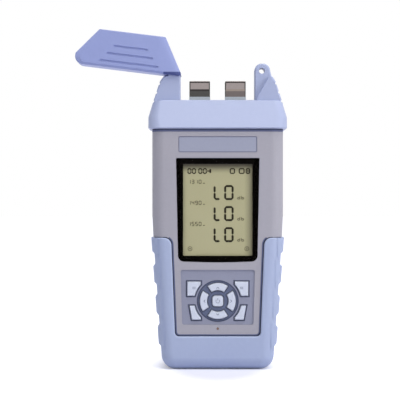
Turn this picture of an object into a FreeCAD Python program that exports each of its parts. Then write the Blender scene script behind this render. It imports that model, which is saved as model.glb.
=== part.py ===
import FreeCAD, Part
import math
import os

# Handheld optical power meter in millimetres. Origin at the middle of its base,
# +X to the right of someone facing the display, -Y towards them, +Z up.

# ---- making ----
weld = 0.5              # how far a boss or rib runs into the wall that it grows from
past = 1.0              # how far a cut runs past the face that it opens
round_share = 0.99      # an end's radius as a share of the half width that it rounds off
same_place = 1e-4       # nearer than this, two places count as one
level_share = 1e-3      # a face whose normal has less than this along an axis runs with that axis

# ---- case ----
case_half_width = 42.4
case_waist_half_width = 41.7
case_waist_z = 85.0
case_straight_z = 100.0
case_foot_half_width = 35.8
case_foot_radius = 9.5
case_shoulder_rise = 3.0
case_half_depth = 19.5
case_edge_radius = 8.0
case_front_wall = 2.7
case_side_wall = 2.2
cavity_edge_bevel = 4.0
parting_y = -2.0
parting_groove = 0.5

# ---- guard round the top end, with its two ears ----
guard_bottom = 155.3
guard_kink = 163.0
guard_deck = 174.2
guard_half_width = 45.0
guard_deck_half_width = 41.7
guard_half_depth = 21.5
guard_deck_half_depth = 12.5
guard_corner_radius = 9.0
guard_wall = 3.0
guard_reveal = 0.6
guard_lip = 0.7
guard_least_radius = 1.0
neck_overlap = 2.0
ear_inner_x = 24.2
ear_half_depth = 7.3
ear_bevel = 0.8
ear_flank_x = 37.6
ear_flank_z = 186.8
ear_shoulder_x = 35.0
ear_shoulder_z = 190.6
ear_tip_x = 33.3
ear_tip_z = 198.3
ear_tip_radius = 4.4
ear_flank_radius = 8.0
ear_shoulder_radius = 3.0
ear_small_radius = 1.0
ear_hole_x = 28.9
ear_hole_z = 193.6
ear_hole_radius = 1.9
gusset_foot_x = 25.6
gusset_foot_z = 175.5
gusset_top_x = 33.6
gusset_top_z = 189.4
gusset_radius = 2.0
gusset_half_depth = 10.6
flank_notch_radius = 0.9
flank_notch_depth = 0.65
flank_notch_first_z = 185.2
flank_notch_pitch = 5.8
flank_notches = 3

# ---- flip cover over the ports ----
hinge_x = -28.9
hinge_z = 195.4
hinge_open_angle = 173.0
hinge_pin_radius = 1.0
hinge_running_fit = 0.06
hinge_post_radius = 3.1
hinge_neck_z = 190.6
hinge_neck_rise = 1.4
hinge_shoulder_x = 34.8
hinge_shoulder_z = 190.4
cover_top = 200.2
cover_low = 176.2
cover_crown = 1.6
cover_skirt = 2.8
cover_half_depth = 10.6
cover_free_x = 35.4
cover_free_low = 193.5
cover_free_radius = 5.0
cover_crown_radius = 1.2
cover_end_radius = 1.5
cover_low_radius = 1.0
cover_end_wall = 1.4
cover_end_wall_low = 195.2
cover_pin_skin = 1.0
cover_low_half_width = 21.6
cover_crown_start = -25.3
cover_lug_x = -35.3
cover_bevel_depth = 1.4
cover_bevel_width = 4.5
cover_bevel_low = 0.5
cover_grooves = 3
cover_groove_pitch = 5.1
cover_groove_width = 1.3
cover_groove_depth = 0.7
cover_groove_low_z = 186.1
cover_groove_half_length = 11.0
cover_groove_growth = 4.1

# ---- boot round the lower end ----
boot_wall = 2.2
boot_front_wall = 2.5
boot_sole = 3.0
boot_half_depth = 21.0
boot_top_inner_x = 30.0
boot_foot_inner_x = 27.5
boot_window_low = 21.5
boot_arm_radius = 5.0
boot_window_radius = 2.6
boot_edge_radius = 1.1
boot_core_bevel = 4.0
boot_gap = 0.5
bump_count = 4
bump_first_z = 21.9
bump_pitch = 19.9
bump_length = 10.0
bump_proud = 1.4
bump_ramp = 1.3
bump_root = 3.0

# ---- display ----
window_top = 136.3
window_bottom = 69.8
window_bow = 0.9
window_top_half_width = 26.8
window_bottom_half_width = 25.5
window_corner_radius = 4.0
window_top_radius = 0.8
window_bow_radius = 400.0
window_thickness = 1.3
window_inset = 0.2
window_fit = 0.15
mask_thickness = 0.3
view_half_width = 22.4
view_low = 73.3
view_high = 132.6
view_corner_radius = 0.6
view_rim = 1.2
lcd_margin = 3.0
lcd_thickness = 2.0
lcd_frame_rim = 1.6

# ---- label ----
label_half_width = 25.4
label_low = 140.0
label_high = 150.4
label_depth = 0.6
label_thickness = 0.4
label_corner_radius = 1.0
label_fit = 0.1

# ---- keypad ----
keypad_half_width = 24.0
keypad_foot_half_width = 23.0
keypad_low = 28.9
keypad_high = 64.3
keypad_depth = 0.8
keypad_corner_radius = 1.5
cluster_z = 44.2
surround_radius = 12.9
surround_thickness = 0.5
arc_key_inner = 7.0
arc_key_outer = 11.5
arc_key_half_angle = 34.0
centre_key_size = 6.9
centre_key_radius = 1.8
corner_key_clear_radius = 15.3
corner_key_inner_x = 11.0
upper_key_outer_x = 19.6
upper_key_low = 47.6
upper_key_high = 56.7
lower_key_outer_x = 18.2
lower_key_foot_x = 16.6
lower_key_low = 32.2
lower_key_high = 41.2
key_bevel = 0.35
key_gap = 0.35
key_proud = 1.2
key_flange = 0.8
key_flange_thickness = 0.8
key_travel = 1.0
key_spare_travel = 0.1
mat_half_width = 24.0
mat_high = 62.3
mat_thickness = 0.7
dome_half_width = 2.4
dome_foot_half_width = 1.4
dome_height = 0.4
led_radius = 0.8
led_base_radius = 1.3
led_base_height = 1.2
led_proud = 0.1
led_z = 26.4
led_fit = 0.05

# ---- board and its screws ----
board_half_width = 31.0
board_low = 18.0
board_high = 147.0
board_thickness = 1.6
board_screw_x = 28.0
board_screw_low = 22.5
board_screw_high = 143.2
board_boss_radius = 2.6
board_screw_radius = 0.9
board_screw_head_radius = 1.8
board_screw_head_height = 1.2
board_corner_radius = 2.0

# ---- case screws ----
case_screw_high_x = 35.2
case_screw_high_z = 140.0
case_screw_low_x = 25.0
case_screw_low_z = 12.0
case_boss_radius = 3.6
case_screw_radius = 1.25
case_screw_head_radius = 2.4
case_screw_head_height = 1.8
case_screw_sink = 4.0
case_screw_reach = 8.0
screw_head_gap = 0.3
screw_hole_gap = 0.1

# ---- ports ----
port_x = 11.65
port_half_width = 6.45
port_half_depth = 5.35
port_top = 187.0
port_flange_height = 1.1
port_flange_overhang = 0.35
port_corner_radius = 0.6
port_rim_bevel = 0.3
port_tail_half_width = 5.8
port_tail_half_depth = 4.7
port_tail_low = 160.0
port_panel_fit = 0.15
socket_half_width = 4.5
socket_half_depth = 3.7
socket_floor = 171.0
socket_key_half_width = 1.15
socket_key_depth = 0.9
socket_key_floor = 174.0
socket_lead_in = 0.4
sleeve_top = 181.2
sleeve_length = 6.0
sleeve_radius = 1.6
sleeve_bore_radius = 1.25
sleeve_proud = 0.4
holder_radius = 2.6
plate_thickness = 2.0
plate_top = 170.4
plate_groove = 1.0
plate_fit = 0.1
clip_thickness = 0.8
clip_rim = 1.4
clip_catch = 1.0

# ---- optical module and its pigtails ----
module_half_width = 23.0
module_low = 106.0
module_high = 136.0
module_depth = 16.0
module_edge_bevel = 1.2
module_collar_wall = 1.3
module_collar_height = 2.5
pigtail_radius = 0.9
pigtail_depth = 2.0
pigtail_boot_radius = 1.8
pigtail_boot_length = 4.0

# ---- cells, their tray and the door ----
cell_radius = 7.25
cell_length = 49.5
cell_button_radius = 2.75
cell_button_height = 1.0
cell_count = 3
cell_gap = 0.6
contact_space = 4.5
contact_thickness = 0.5
contact_half_width = 4.0
contact_half_height = 4.75
contact_bend = 1.6
tray_low = 29.0
tray_side_gap = 0.9
tray_wall = 1.4
tray_floor_y = 0.8
door_seat = 1.8
door_thickness = 1.7
door_fit = 0.2
door_corner_radius = 3.0
door_head = 7.5
door_screw_below_top = 4.2
door_screw_head_height = 1.1
door_screw_reach = 7.0
door_boss_length = 12.8
door_boss_floor = 1.0
door_ribs = 5
door_rib_pitch = 2.4
door_rib_height = 0.5
door_rib_width = 1.2
door_rib_half_length = 14.0
door_ribs_below_screw = 8.0
door_rim_bevel = 0.4
hook_half_width = 3.0
hook_leg = 1.4
hook_x = 12.0
hook_reach = 2.6
hook_thickness = 1.2
hook_fit = 0.25

# ---- places worked out from the sizes above ----
front_y = -case_half_depth
inner_front_y = front_y + case_front_wall
inner_rear_y = -inner_front_y
window_floor_y = front_y + window_inset + window_thickness + mask_thickness
flange_back_y = inner_front_y + key_flange_thickness
mat_front_y = flange_back_y + key_travel + key_spare_travel
mat_back_y = mat_front_y + mat_thickness
board_front_y = mat_back_y + dome_height
board_rear_y = board_front_y + board_thickness
boot_inner_half_depth = boot_half_depth - boot_front_wall
plate_low = plate_top - plate_thickness
tray_half_width = cell_count * cell_radius + (cell_count - 1) * cell_gap / 2 + tray_side_gap
tray_high = tray_low + cell_length + cell_button_height + 2 * contact_space
door_low = tray_low - door_seat
door_high = tray_high + door_seat + door_head
door_half_width = tray_half_width + door_seat
door_screw_z = door_high - door_screw_below_top
sleeve_low = sleeve_top - sleeve_length


def vec(x, y, z):
    return FreeCAD.Vector(x, y, z)


def rounded_wire(corners, place, closed=True):
    """Wire through (u, v) or (u, v, radius) corners; place(u, v) gives the point in space."""
    points = [(c[0], c[1]) for c in corners]
    radii = [c[2] if len(c) > 2 else 0.0 for c in corners]
    runs = []
    for i, (u, v) in enumerate(points):
        if radii[i] <= 0:
            runs.append([(u, v)])
            continue
        ends = []
        for other in (points[i - 1], points[(i + 1) % len(points)]):
            length = math.hypot(other[0] - u, other[1] - v)
            ends.append(((other[0] - u) / length, (other[1] - v) / length))
        half = math.acos(max(-1.0, min(1.0, ends[0][0] * ends[1][0] + ends[0][1] * ends[1][1]))) / 2
        reach = radii[i] / math.tan(half)
        bisector = (ends[0][0] + ends[1][0], ends[0][1] + ends[1][1])
        size = math.hypot(*bisector)
        deep = radii[i] / math.sin(half) - radii[i]
        start = (u + ends[0][0] * reach, v + ends[0][1] * reach)
        middle = (u + bisector[0] / size * deep, v + bisector[1] / size * deep)
        stop = (u + ends[1][0] * reach, v + ends[1][1] * reach)
        runs.append([start, middle, stop])
    edges = []
    for i, run in enumerate(runs):
        if len(run) == 3:
            edges.append(Part.Arc(*[place(*p) for p in run]).toShape())
        if i == len(runs) - 1 and not closed:
            break
        here = place(*run[-1])
        there = place(*runs[(i + 1) % len(runs)][0])
        if here.distanceToPoint(there) > 1e-6:
            edges.append(Part.LineSegment(here, there).toShape())
    return Part.Wire(edges)


def mirrored(half):
    """Corners of a symmetrical outline, from those of its right half listed downwards."""
    return half + [(-c[0],) + tuple(c[1:]) for c in reversed(half) if c[0] != 0]


def front_face(corners, y=0.0):
    return Part.Face(rounded_wire(corners, lambda u, v: vec(u, y, v)))


def prism(corners, y0, y1):
    """Outline in the front view, running from y0 to y1."""
    return front_face(corners, y0).extrude(vec(0, y1 - y0, 0))


def box(x0, x1, y0, y1, z0, z1):
    return Part.makeBox(x1 - x0, y1 - y0, z1 - z0, vec(x0, y0, z0))


def rod(x, z, radius, y0, y1):
    """Round bar along the depth."""
    return Part.makeCylinder(radius, y1 - y0, vec(x, y0, z), vec(0, 1, 0))


def post(x, y, radius, z0, z1):
    """Round bar standing upright."""
    return Part.makeCylinder(radius, z1 - z0, vec(x, y, z0), vec(0, 0, 1))


def flipped(shape):
    """Mirror image on the other side of the middle."""
    return shape.mirror(vec(0, 0, 0), vec(1, 0, 0))


def fused(shapes):
    return shapes[0].multiFuse(shapes[1:]).removeSplitter() if len(shapes) > 1 else shapes[0]


def one_solid(shape):
    """The single solid of a result that comes wrapped in a compound."""
    solids = sorted(shape.Solids, key=lambda s: s.Volume)
    return solids[-1]


def edges_where(shape, keep):
    return [e for e in shape.Edges if keep(e.BoundBox)]


def slab(corners, half_depth, skip_above, radius=0.0, bevel=0.0):
    """Outline run through the depth, its front and rear edges rounded or bevelled below a height."""
    body = prism(corners, -half_depth, half_depth)

    def on_face(b):
        return b.YLength < same_place and abs(abs(b.YMin) - half_depth) < same_place and b.ZMin < skip_above

    rims = edges_where(body, on_face)
    return body.makeFillet(radius, rims) if radius > 0 else body.makeChamfer(bevel, rims)


def bevelled(corners, half_depth, bevel):
    """Outline run through the depth, with its front and rear edges bevelled."""
    body = prism(corners, -half_depth, half_depth)
    rims = edges_where(body, lambda b: b.YLength < same_place)
    return body.makeChamfer(bevel, rims)


# ---------------------------------------------------------------- case

def boot_side_x(z):
    """Half width over the tapering lower end at a height."""
    return case_foot_half_width + (case_waist_half_width - case_foot_half_width) * z / case_waist_z


def foot_corner(inset, sole):
    return (boot_side_x(sole) - inset, sole, case_foot_radius - min(inset, case_foot_radius / 2))


def case_outline(inset, foot_inset, sole, top):
    """Front outline of the case, drawn in by inset above the waist and by foot_inset below it."""
    upper = case_half_width - inset
    waist = case_waist_half_width - foot_inset
    if foot_inset > inset:
        shoulder = case_waist_z + case_shoulder_rise
        half = [(upper, top), (upper, shoulder + foot_inset - inset), (waist, shoulder)]
    else:
        half = [(upper, top), (upper, case_straight_z), (waist, case_waist_z)]
    return mirrored(half + [foot_corner(foot_inset, sole)])


def boot_outline(inset, sole, top):
    """Front outline of the boot's outside or of what it is stretched over."""
    return mirrored([(boot_side_x(top) - inset, top), foot_corner(inset, sole)])


def guard_size(z, inset=0.0):
    """Half width, half depth and corner radius of the guard at a height, less an inset."""
    rise = max(0.0, (z - guard_kink) / (guard_deck - guard_kink))
    climb = (z - guard_bottom) / (guard_deck - guard_bottom)
    half_width = guard_half_width + (guard_deck_half_width - guard_half_width) * rise
    half_depth = guard_half_depth + (guard_deck_half_depth - guard_half_depth) * climb
    radius = guard_corner_radius * half_depth / guard_half_depth
    return half_width - inset, half_depth - inset, max(radius - inset, guard_least_radius)


def level_wire(corners, level):
    """Level outline from its front right quarter, listed from the front to the side."""
    right = corners + [(c[0], -c[1]) + tuple(c[2:]) for c in reversed(corners)]
    return rounded_wire(mirrored(right), lambda u, v: vec(u, v, level))


def guard_section(z, inset=0.0, at_z=None):
    """Level outline of the guard: rounded at its outside, flat-cornered where the case fits in."""
    half_width, half_depth, radius = guard_size(z, inset)
    if inset < guard_wall:
        corners = [(half_width, -half_depth, radius)]
    else:
        corners = [(half_width - radius, -half_depth), (half_width, -half_depth + radius)]
    return level_wire(corners, z if at_z is None else at_z)


def guard_body(inset, low, high):
    """Solid bounded by the guard's outside drawn in by inset, between two heights."""
    levels = [low, guard_kink, high]
    return Part.makeLoft([guard_section(z, inset) for z in levels], True, True)


def boot_window(grow, low=boot_window_low):
    """Outline of the opening in the boot that shows the case, and everything above the arms."""
    arm_top = case_waist_z - grow
    slope = (boot_top_inner_x - boot_foot_inner_x) / (arm_top - low)
    foot_x = boot_foot_inner_x + grow
    arm_x = foot_x + slope * (arm_top - low)
    wide = case_half_width * 2
    tall = guard_deck * 2
    half = [(wide, tall), (wide, arm_top), (arm_x, arm_top, boot_arm_radius),
            (foot_x, low - grow, boot_window_radius)]
    return mirrored(half)


def case_outside():
    """Both shells together from outside: bare above, drawn in where the boot wraps it."""
    top = guard_bottom - guard_reveal
    bare = slab(case_outline(0, 0, 0, top), case_half_depth, top - weld, radius=case_edge_radius)
    drawn_in = boot_core()
    sight = prism(boot_window(-boot_gap), -case_half_depth * 2, case_half_depth * 2)
    neck = guard_body(guard_wall, guard_bottom - neck_overlap, guard_deck - guard_wall)
    body = fused([bare.common(sight), drawn_in, neck])
    return one_solid(body)


def boot_core():
    """What the boot is stretched over."""
    top = case_waist_z + past
    return slab(boot_outline(boot_wall, boot_sole, top), boot_inner_half_depth, top - weld,
                bevel=boot_core_bevel)


def case_cavity():
    foot_inset = boot_wall + case_side_wall
    top = guard_bottom - neck_overlap / 2
    corners = case_outline(case_side_wall, foot_inset, boot_sole + case_side_wall, top)
    lower = slab(corners, inner_rear_y, top - weld, bevel=cavity_edge_bevel)
    inset = guard_wall + case_side_wall
    upper = guard_body(inset, top - weld, guard_deck - guard_wall + past)
    return fused([lower, upper])


def plate_block(fit=0.0):
    """The port plate's edge, which sits in a groove round the inside of the neck."""
    half_width, half_depth, radius = guard_size(plate_top, guard_wall + case_side_wall - plate_groove + fit)
    wire = level_wire([(half_width - radius, -half_depth), (half_width, -half_depth + radius)], plate_low)
    return Part.Face(wire).extrude(vec(0, 0, plate_thickness))


def case_screw_places():
    return [(case_screw_high_x, case_screw_high_z), (-case_screw_high_x, case_screw_high_z),
            (case_screw_low_x, case_screw_low_z), (-case_screw_low_x, case_screw_low_z)]


def board_screw_places():
    return [(-board_screw_x, board_screw_high), (board_screw_x, board_screw_low)]


def front_shell():
    shell = case_outside().cut(case_cavity()).cut(plate_block())
    big = 4 * case_half_width
    shell = shell.common(box(-big, big, -big, parting_y, -big, big * 2))
    top = guard_bottom - guard_reveal
    groove = prism(case_outline(-past, -past, -past, top), parting_y - parting_groove, parting_y)
    groove = groove.cut(prism(case_outline(parting_groove, parting_groove, parting_groove, top + past),
                              parting_y - parting_groove, parting_y))
    shell = shell.cut(groove.common(prism(boot_window(0.0), parting_y - past, parting_y)))
    inside = case_outside()
    for x, z in case_screw_places():
        boss = rod(x, z, case_boss_radius, inner_front_y - weld, parting_y).common(inside)
        shell = shell.fuse(boss)
    for x, z in board_screw_places():
        shell = shell.fuse(rod(x, z, board_boss_radius, inner_front_y - weld, board_front_y))
    shell = shell.cut(front_openings())
    for x, z in case_screw_places():
        shell = shell.cut(rod(x, z, case_screw_radius, inner_front_y, parting_y))
    for x, z in board_screw_places():
        shell = shell.cut(rod(x, z, board_screw_radius, inner_front_y, board_front_y))
    return one_solid(shell.removeSplitter())


def window_outline(grow=0.0):
    half = [(window_top_half_width + grow, window_top + grow, window_top_radius),
            (window_bottom_half_width + grow, window_bottom - grow, window_corner_radius),
            (0, window_bottom - window_bow - grow, window_bow_radius)]
    return mirrored(half)


def view_outline(grow=0.0):
    radius = view_corner_radius + grow
    half_width = view_half_width + grow
    return mirrored([(half_width, view_high + grow, radius), (half_width, view_low - grow, radius)])


def label_outline(grow=0.0):
    half_width = label_half_width + grow
    return mirrored([(half_width, label_high + grow, label_corner_radius),
                     (half_width, label_low - grow, label_corner_radius)])


def keypad_outline():
    return mirrored([(keypad_half_width, keypad_high, keypad_corner_radius),
                     (keypad_foot_half_width, keypad_low, keypad_corner_radius)])


def front_openings():
    """Recesses and holes of the front face: window, label, keypad, keys and lamp."""
    outside = front_y - past
    inside = inner_front_y + past
    cuts = [prism(window_outline(window_fit), outside, window_floor_y),
            prism(view_outline(view_rim), outside, inside),
            prism(label_outline(), outside, front_y + label_depth),
            prism(keypad_outline(), outside, front_y + keypad_depth),
            rod(0, cluster_z, surround_radius, outside, front_y + keypad_depth + surround_thickness),
            rod(0, led_z, led_radius + led_fit, outside, inside)]
    cuts += [grown_key(name, key_gap, outside, inside) for name in key_names]
    return fused(cuts)


def tray_box(grow):
    return box(-tray_half_width - grow, tray_half_width + grow, tray_floor_y - grow, inner_rear_y,
               tray_low - grow, tray_high + grow)


def door_outline(shrink=0.0):
    half_width = door_half_width - shrink
    return mirrored([(half_width, door_high - shrink, door_corner_radius),
                     (half_width, door_low + shrink, door_corner_radius)])


def rear_shell():
    shell = case_outside().cut(case_cavity()).cut(plate_block())
    big = 4 * case_half_width
    shell = shell.common(box(-big, big, parting_y, big, -big, big * 2))
    inside = case_outside()
    for x, z in case_screw_places():
        shell = shell.fuse(rod(x, z, case_boss_radius, parting_y, inner_rear_y + weld).common(inside))
    boss_end = inner_rear_y - door_boss_length
    shell = shell.fuse(rod(0, door_screw_z, case_boss_radius, boss_end, inner_rear_y + weld))
    shell = shell.fuse(tray_box(tray_wall))
    shell = shell.cut(box(-tray_half_width, tray_half_width, tray_floor_y, case_half_depth + past,
                          tray_low, tray_high))
    shell = shell.cut(prism(door_outline(), case_half_depth - door_thickness, case_half_depth + past))
    for side in (-1, 1):
        x = side * hook_x
        reach = hook_half_width + hook_fit
        shell = shell.cut(box(x - reach, x + reach, inner_rear_y - hook_thickness - hook_fit, inner_rear_y,
                              tray_low - tray_wall - past, tray_low + past))
    for x, z in case_screw_places():
        sink = rod(x, z, case_screw_head_radius + screw_head_gap, screw_seat_y(), case_half_depth + past)
        hole = rod(x, z, case_screw_radius + screw_hole_gap, parting_y, case_half_depth)
        shell = shell.cut(sink).cut(hole)
    shell = shell.cut(rod(0, door_screw_z, case_screw_radius, boss_end + door_boss_floor, case_half_depth))
    return one_solid(shell.removeSplitter())


def screw_seat_y():
    return inner_rear_y - case_screw_sink + case_screw_head_height


def screw(x, z, radius, head_radius, head_height, seat_y, tip_y):
    """Screw along the depth, driven from behind; its drive and thread are left plain."""
    head = rod(x, z, head_radius, seat_y, seat_y + head_height)
    return head.fuse(rod(x, z, radius, tip_y, seat_y)).removeSplitter()


def case_screws():
    return [screw(x, z, case_screw_radius, case_screw_head_radius, case_screw_head_height,
                  screw_seat_y(), parting_y - case_screw_reach) for x, z in case_screw_places()]


def board_screws():
    return [screw(x, z, board_screw_radius, board_screw_head_radius, board_screw_head_height,
                  board_rear_y, inner_front_y + weld) for x, z in board_screw_places()]


# ---------------------------------------------------------------- guard and boot

def flank_x(z):
    """Half width over the ears' outer flanks at a height."""
    if z < guard_deck:
        return guard_size(z)[0]
    slope = (ear_flank_x - guard_deck_half_width) / (ear_flank_z - guard_deck)
    return guard_deck_half_width + slope * (z - guard_deck)


def flank_corners():
    foot = guard_deck - guard_wall
    return [(ear_flank_x, ear_flank_z, ear_flank_radius), (guard_deck_half_width, guard_deck),
            (guard_size(foot)[0], foot), (ear_inner_x, foot)]


def right_ear():
    """Plain lug with a strap hole, thickened outboard of a sloping edge that the shut cover meets."""
    corners = [(ear_inner_x, ear_tip_z, ear_tip_radius), (ear_tip_x, ear_tip_z, ear_tip_radius),
               (ear_shoulder_x, ear_shoulder_z, ear_shoulder_radius)] + flank_corners()
    lug = bevelled(corners, ear_half_depth, ear_bevel)
    beyond = guard_half_width + past
    foot = guard_deck - guard_wall
    sloping = [(gusset_foot_x, foot), (gusset_foot_x, gusset_foot_z, gusset_radius),
               (gusset_top_x, gusset_top_z), (beyond, gusset_top_z), (beyond, foot)]
    thick = bevelled(corners, gusset_half_depth, ear_bevel)
    return lug.fuse(thick.common(prism(sloping, -guard_half_depth, guard_half_depth)))


def left_ear():
    """Lug that narrows to the round hinge post, with a shoulder that stops the open cover."""
    post_in = -hinge_x - hinge_post_radius
    post_out = -hinge_x + hinge_post_radius
    post_top = hinge_z + hinge_post_radius
    round_top = hinge_post_radius * round_share
    corners = [(ear_inner_x, hinge_neck_z, ear_small_radius),
               (post_in, hinge_neck_z + hinge_neck_rise, ear_small_radius), (post_in, post_top, round_top),
               (post_out, post_top, round_top), (post_out, hinge_shoulder_z, ear_small_radius),
               (hinge_shoulder_x, hinge_shoulder_z, ear_small_radius)] + flank_corners()
    return flipped(bevelled(corners, ear_half_depth, ear_bevel))


def top_guard():
    band = guard_body(0.0, guard_bottom + guard_lip, guard_deck)
    rim = edges_where(band, lambda b: b.ZMin > guard_deck - same_place)
    band = band.makeChamfer(ear_bevel, rim)
    low = guard_bottom + guard_lip
    lip = Part.makeLoft([guard_section(low, guard_lip, guard_bottom), guard_section(low, 0.0)], True, True)
    guard = fused([band, lip, right_ear(), left_ear()])
    guard = guard.cut(guard_body(guard_wall, guard_bottom - past, guard_deck - guard_wall))
    for side in (-1, 1):
        guard = guard.cut(port_hole(side))
        for i in range(flank_notches):
            z = flank_notch_first_z - i * flank_notch_pitch
            x = side * (flank_x(z) + flank_notch_radius - flank_notch_depth)
            guard = guard.cut(rod(x, z, flank_notch_radius, -guard_half_depth, guard_half_depth))
    guard = guard.cut(rod(ear_hole_x, ear_hole_z, ear_hole_radius, -guard_half_depth, guard_half_depth))
    bore = hinge_pin_radius + hinge_running_fit
    guard = guard.cut(rod(hinge_x, hinge_z, bore, -guard_half_depth, guard_half_depth))
    return one_solid(guard.removeSplitter())


def grip_bumps():
    """Ribs that stand out of the boot's sides and run out on its front and rear faces."""
    top = case_waist_z + case_edge_radius
    proud_slab = slab(boot_outline(-bump_proud, -bump_proud, top), boot_half_depth, top - weld,
                      radius=case_edge_radius + bump_proud)
    ribs = []
    for i in range(bump_count):
        z = bump_first_z + i * bump_pitch
        side_x = boot_side_x(z)
        root = bump_length / 2 + (bump_proud + bump_root) * bump_ramp / bump_proud
        crest = bump_length / 2 - past * bump_ramp / bump_proud
        inner_x = side_x - bump_root
        outer_x = side_x + bump_proud + past
        corners = [(inner_x, z - root), (outer_x, z - crest), (outer_x, z + crest), (inner_x, z + root)]
        rib = prism(corners, -boot_half_depth, boot_half_depth)
        ribs += [rib, flipped(rib)]
    return [proud_slab.common(rib) for rib in ribs]


def lower_boot():
    top = case_waist_z + case_edge_radius
    outer = slab(boot_outline(0, 0, top), boot_half_depth, top - weld, radius=case_edge_radius)
    boot = fused([outer] + grip_bumps())
    boot = boot.cut(prism(boot_window(0.0), -boot_half_depth - past, boot_half_depth + past))
    boot = one_solid(boot.removeSplitter())

    def is_rim(edge):
        b = edge.BoundBox
        if b.YLength > same_place or abs(abs(b.YMin) - boot_half_depth) > same_place:
            return False
        for face in boot.ancestorsOfType(edge, Part.Face):
            u0, u1, v0, v1 = face.ParameterRange
            if abs(face.normalAt((u0 + u1) / 2, (v0 + v1) / 2).y) < level_share:
                return True
        return False

    boot = boot.makeFillet(boot_edge_radius, [e for e in boot.Edges if is_rim(e)])
    return one_solid(boot.cut(boot_core()))


# ---------------------------------------------------------------- flip cover

def cover_outline(end_in, crown_in, low_in):
    """Side of the shut cover, drawn in at its ends, crown and lower edge."""
    left_slope = (cover_lug_x + cover_low_half_width) / (cover_top - cover_low)
    right_slope = (cover_free_x - cover_low_half_width) / (cover_free_low - cover_low)
    crown = cover_top - crown_in
    low = cover_low + low_in
    left = -cover_low_half_width + end_in
    right = cover_low_half_width - end_in
    return [(left + left_slope * (crown - cover_low), crown, cover_crown_radius),
            (cover_free_x - end_in, crown, cover_free_radius - min(end_in, cover_free_radius / 2)),
            (cover_free_x - end_in, cover_free_low, cover_end_radius),
            (right + right_slope * (low - cover_low), low, cover_low_radius),
            (left + left_slope * (low - cover_low), low, cover_low_radius)]


def cover_groove(row):
    half = cover_groove_half_length + row * cover_groove_growth
    z = cover_groove_low_z + row * cover_groove_pitch
    end = cover_groove_width / 2
    corners = mirrored([(half, z + end, end * round_share), (half, z - end, end * round_share)])
    return prism(corners, -cover_half_depth - past, -cover_half_depth + cover_groove_depth)


def opened(shape):
    """Turned from the shut position about the hinge pin to where the open cover rests."""
    shape.rotate(vec(hinge_x, 0, hinge_z), vec(0, 1, 0), -hinge_open_angle)
    return shape


def flip_cover():
    full = cover_outline(0, 0, 0)
    drawn_in = cover_outline(cover_bevel_width, cover_bevel_depth, cover_bevel_low)
    levels = [(-cover_half_depth, drawn_in), (-cover_half_depth + cover_bevel_depth, full),
              (cover_half_depth - cover_bevel_depth, full), (cover_half_depth, drawn_in)]
    wires = [rounded_wire(c, lambda u, v, y=y: vec(u, y, v)) for y, c in levels]
    cover = Part.makeLoft(wires, True, True)
    inner = cover_half_depth - cover_skirt
    far = -2 * guard_half_width
    low = cover_low - past
    under = cover_top - cover_crown
    end_x = cover_free_x - cover_end_wall
    hollow = [(end_x, low), (end_x, under, cover_free_radius - cover_crown), (far, under), (far, low)]
    cover = cover.cut(prism(hollow, -inner, inner))
    cover = cover.cut(box(far, cover_crown_start, -inner, inner, low, cover_top + past))
    cover = cover.cut(box(end_x - past, -far, -inner, inner, low, cover_end_wall_low))
    for row in range(cover_grooves):
        cover = cover.cut(cover_groove(row))
    cover = cover.cut(rod(hinge_x, hinge_z, hinge_pin_radius, -pin_half_length(), pin_half_length()))
    return opened(one_solid(cover))


def pin_half_length():
    return cover_half_depth - cover_pin_skin


def hinge_pin():
    return rod(hinge_x, hinge_z, hinge_pin_radius, -pin_half_length(), pin_half_length())


# ---------------------------------------------------------------- display and label

def display_window():
    y0 = front_y + window_inset
    return prism(window_outline(), y0, y0 + window_thickness)


def display_mask():
    y0 = window_floor_y - mask_thickness
    return prism(window_outline(), y0, window_floor_y).cut(prism(view_outline(), y0, window_floor_y))


def lcd_glass():
    return prism(view_outline(lcd_margin), inner_front_y, inner_front_y + lcd_thickness)


def lcd_frame():
    tray = prism(view_outline(lcd_margin + lcd_frame_rim), inner_front_y, board_front_y)
    return tray.cut(lcd_glass())


def label_inlay():
    floor_y = front_y + label_depth
    return prism(label_outline(-label_fit), floor_y - label_thickness, floor_y)


# ---------------------------------------------------------------- keypad

cluster_key_names = ["key_centre", "key_up", "key_right", "key_down", "key_left"]
corner_key_names = ["key_top_left", "key_top_right", "key_bottom_left", "key_bottom_right"]
key_names = cluster_key_names + corner_key_names


def arc_key_face(turn):
    """One of the four curved keys round the middle one, turned from the top position."""
    half = math.radians(arc_key_half_angle)

    def at(radius, angle):
        angle = angle + math.radians(turn)
        return vec(radius * math.sin(angle), 0, cluster_z + radius * math.cos(angle))

    outer = Part.Arc(at(arc_key_outer, -half), at(arc_key_outer, 0), at(arc_key_outer, half)).toShape()
    inner = Part.Arc(at(arc_key_inner, half), at(arc_key_inner, 0), at(arc_key_inner, -half)).toShape()
    side_a = Part.LineSegment(at(arc_key_outer, half), at(arc_key_inner, half)).toShape()
    side_b = Part.LineSegment(at(arc_key_inner, -half), at(arc_key_outer, -half)).toShape()
    return Part.Face(Part.Wire([outer, side_a, inner, side_b]))


def corner_key_face(name):
    """Key beside the cluster: four-sided, its inner corner scooped out round the cluster."""
    if "top" in name:
        outer = [(upper_key_outer_x, upper_key_high), (upper_key_outer_x, upper_key_low)]
    else:
        outer = [(lower_key_outer_x, lower_key_high), (lower_key_foot_x, lower_key_low)]
    corners = [(corner_key_inner_x, outer[0][1])] + outer + [(corner_key_inner_x, outer[1][1])]
    ring = Part.Wire(Part.makeCircle(corner_key_clear_radius, vec(0, 0, cluster_z), vec(0, 1, 0)))
    scoop = front_face(corners).cut(Part.Face(ring))
    return scoop.Faces[0] if "right" in name else flipped(scoop).Faces[0]


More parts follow.
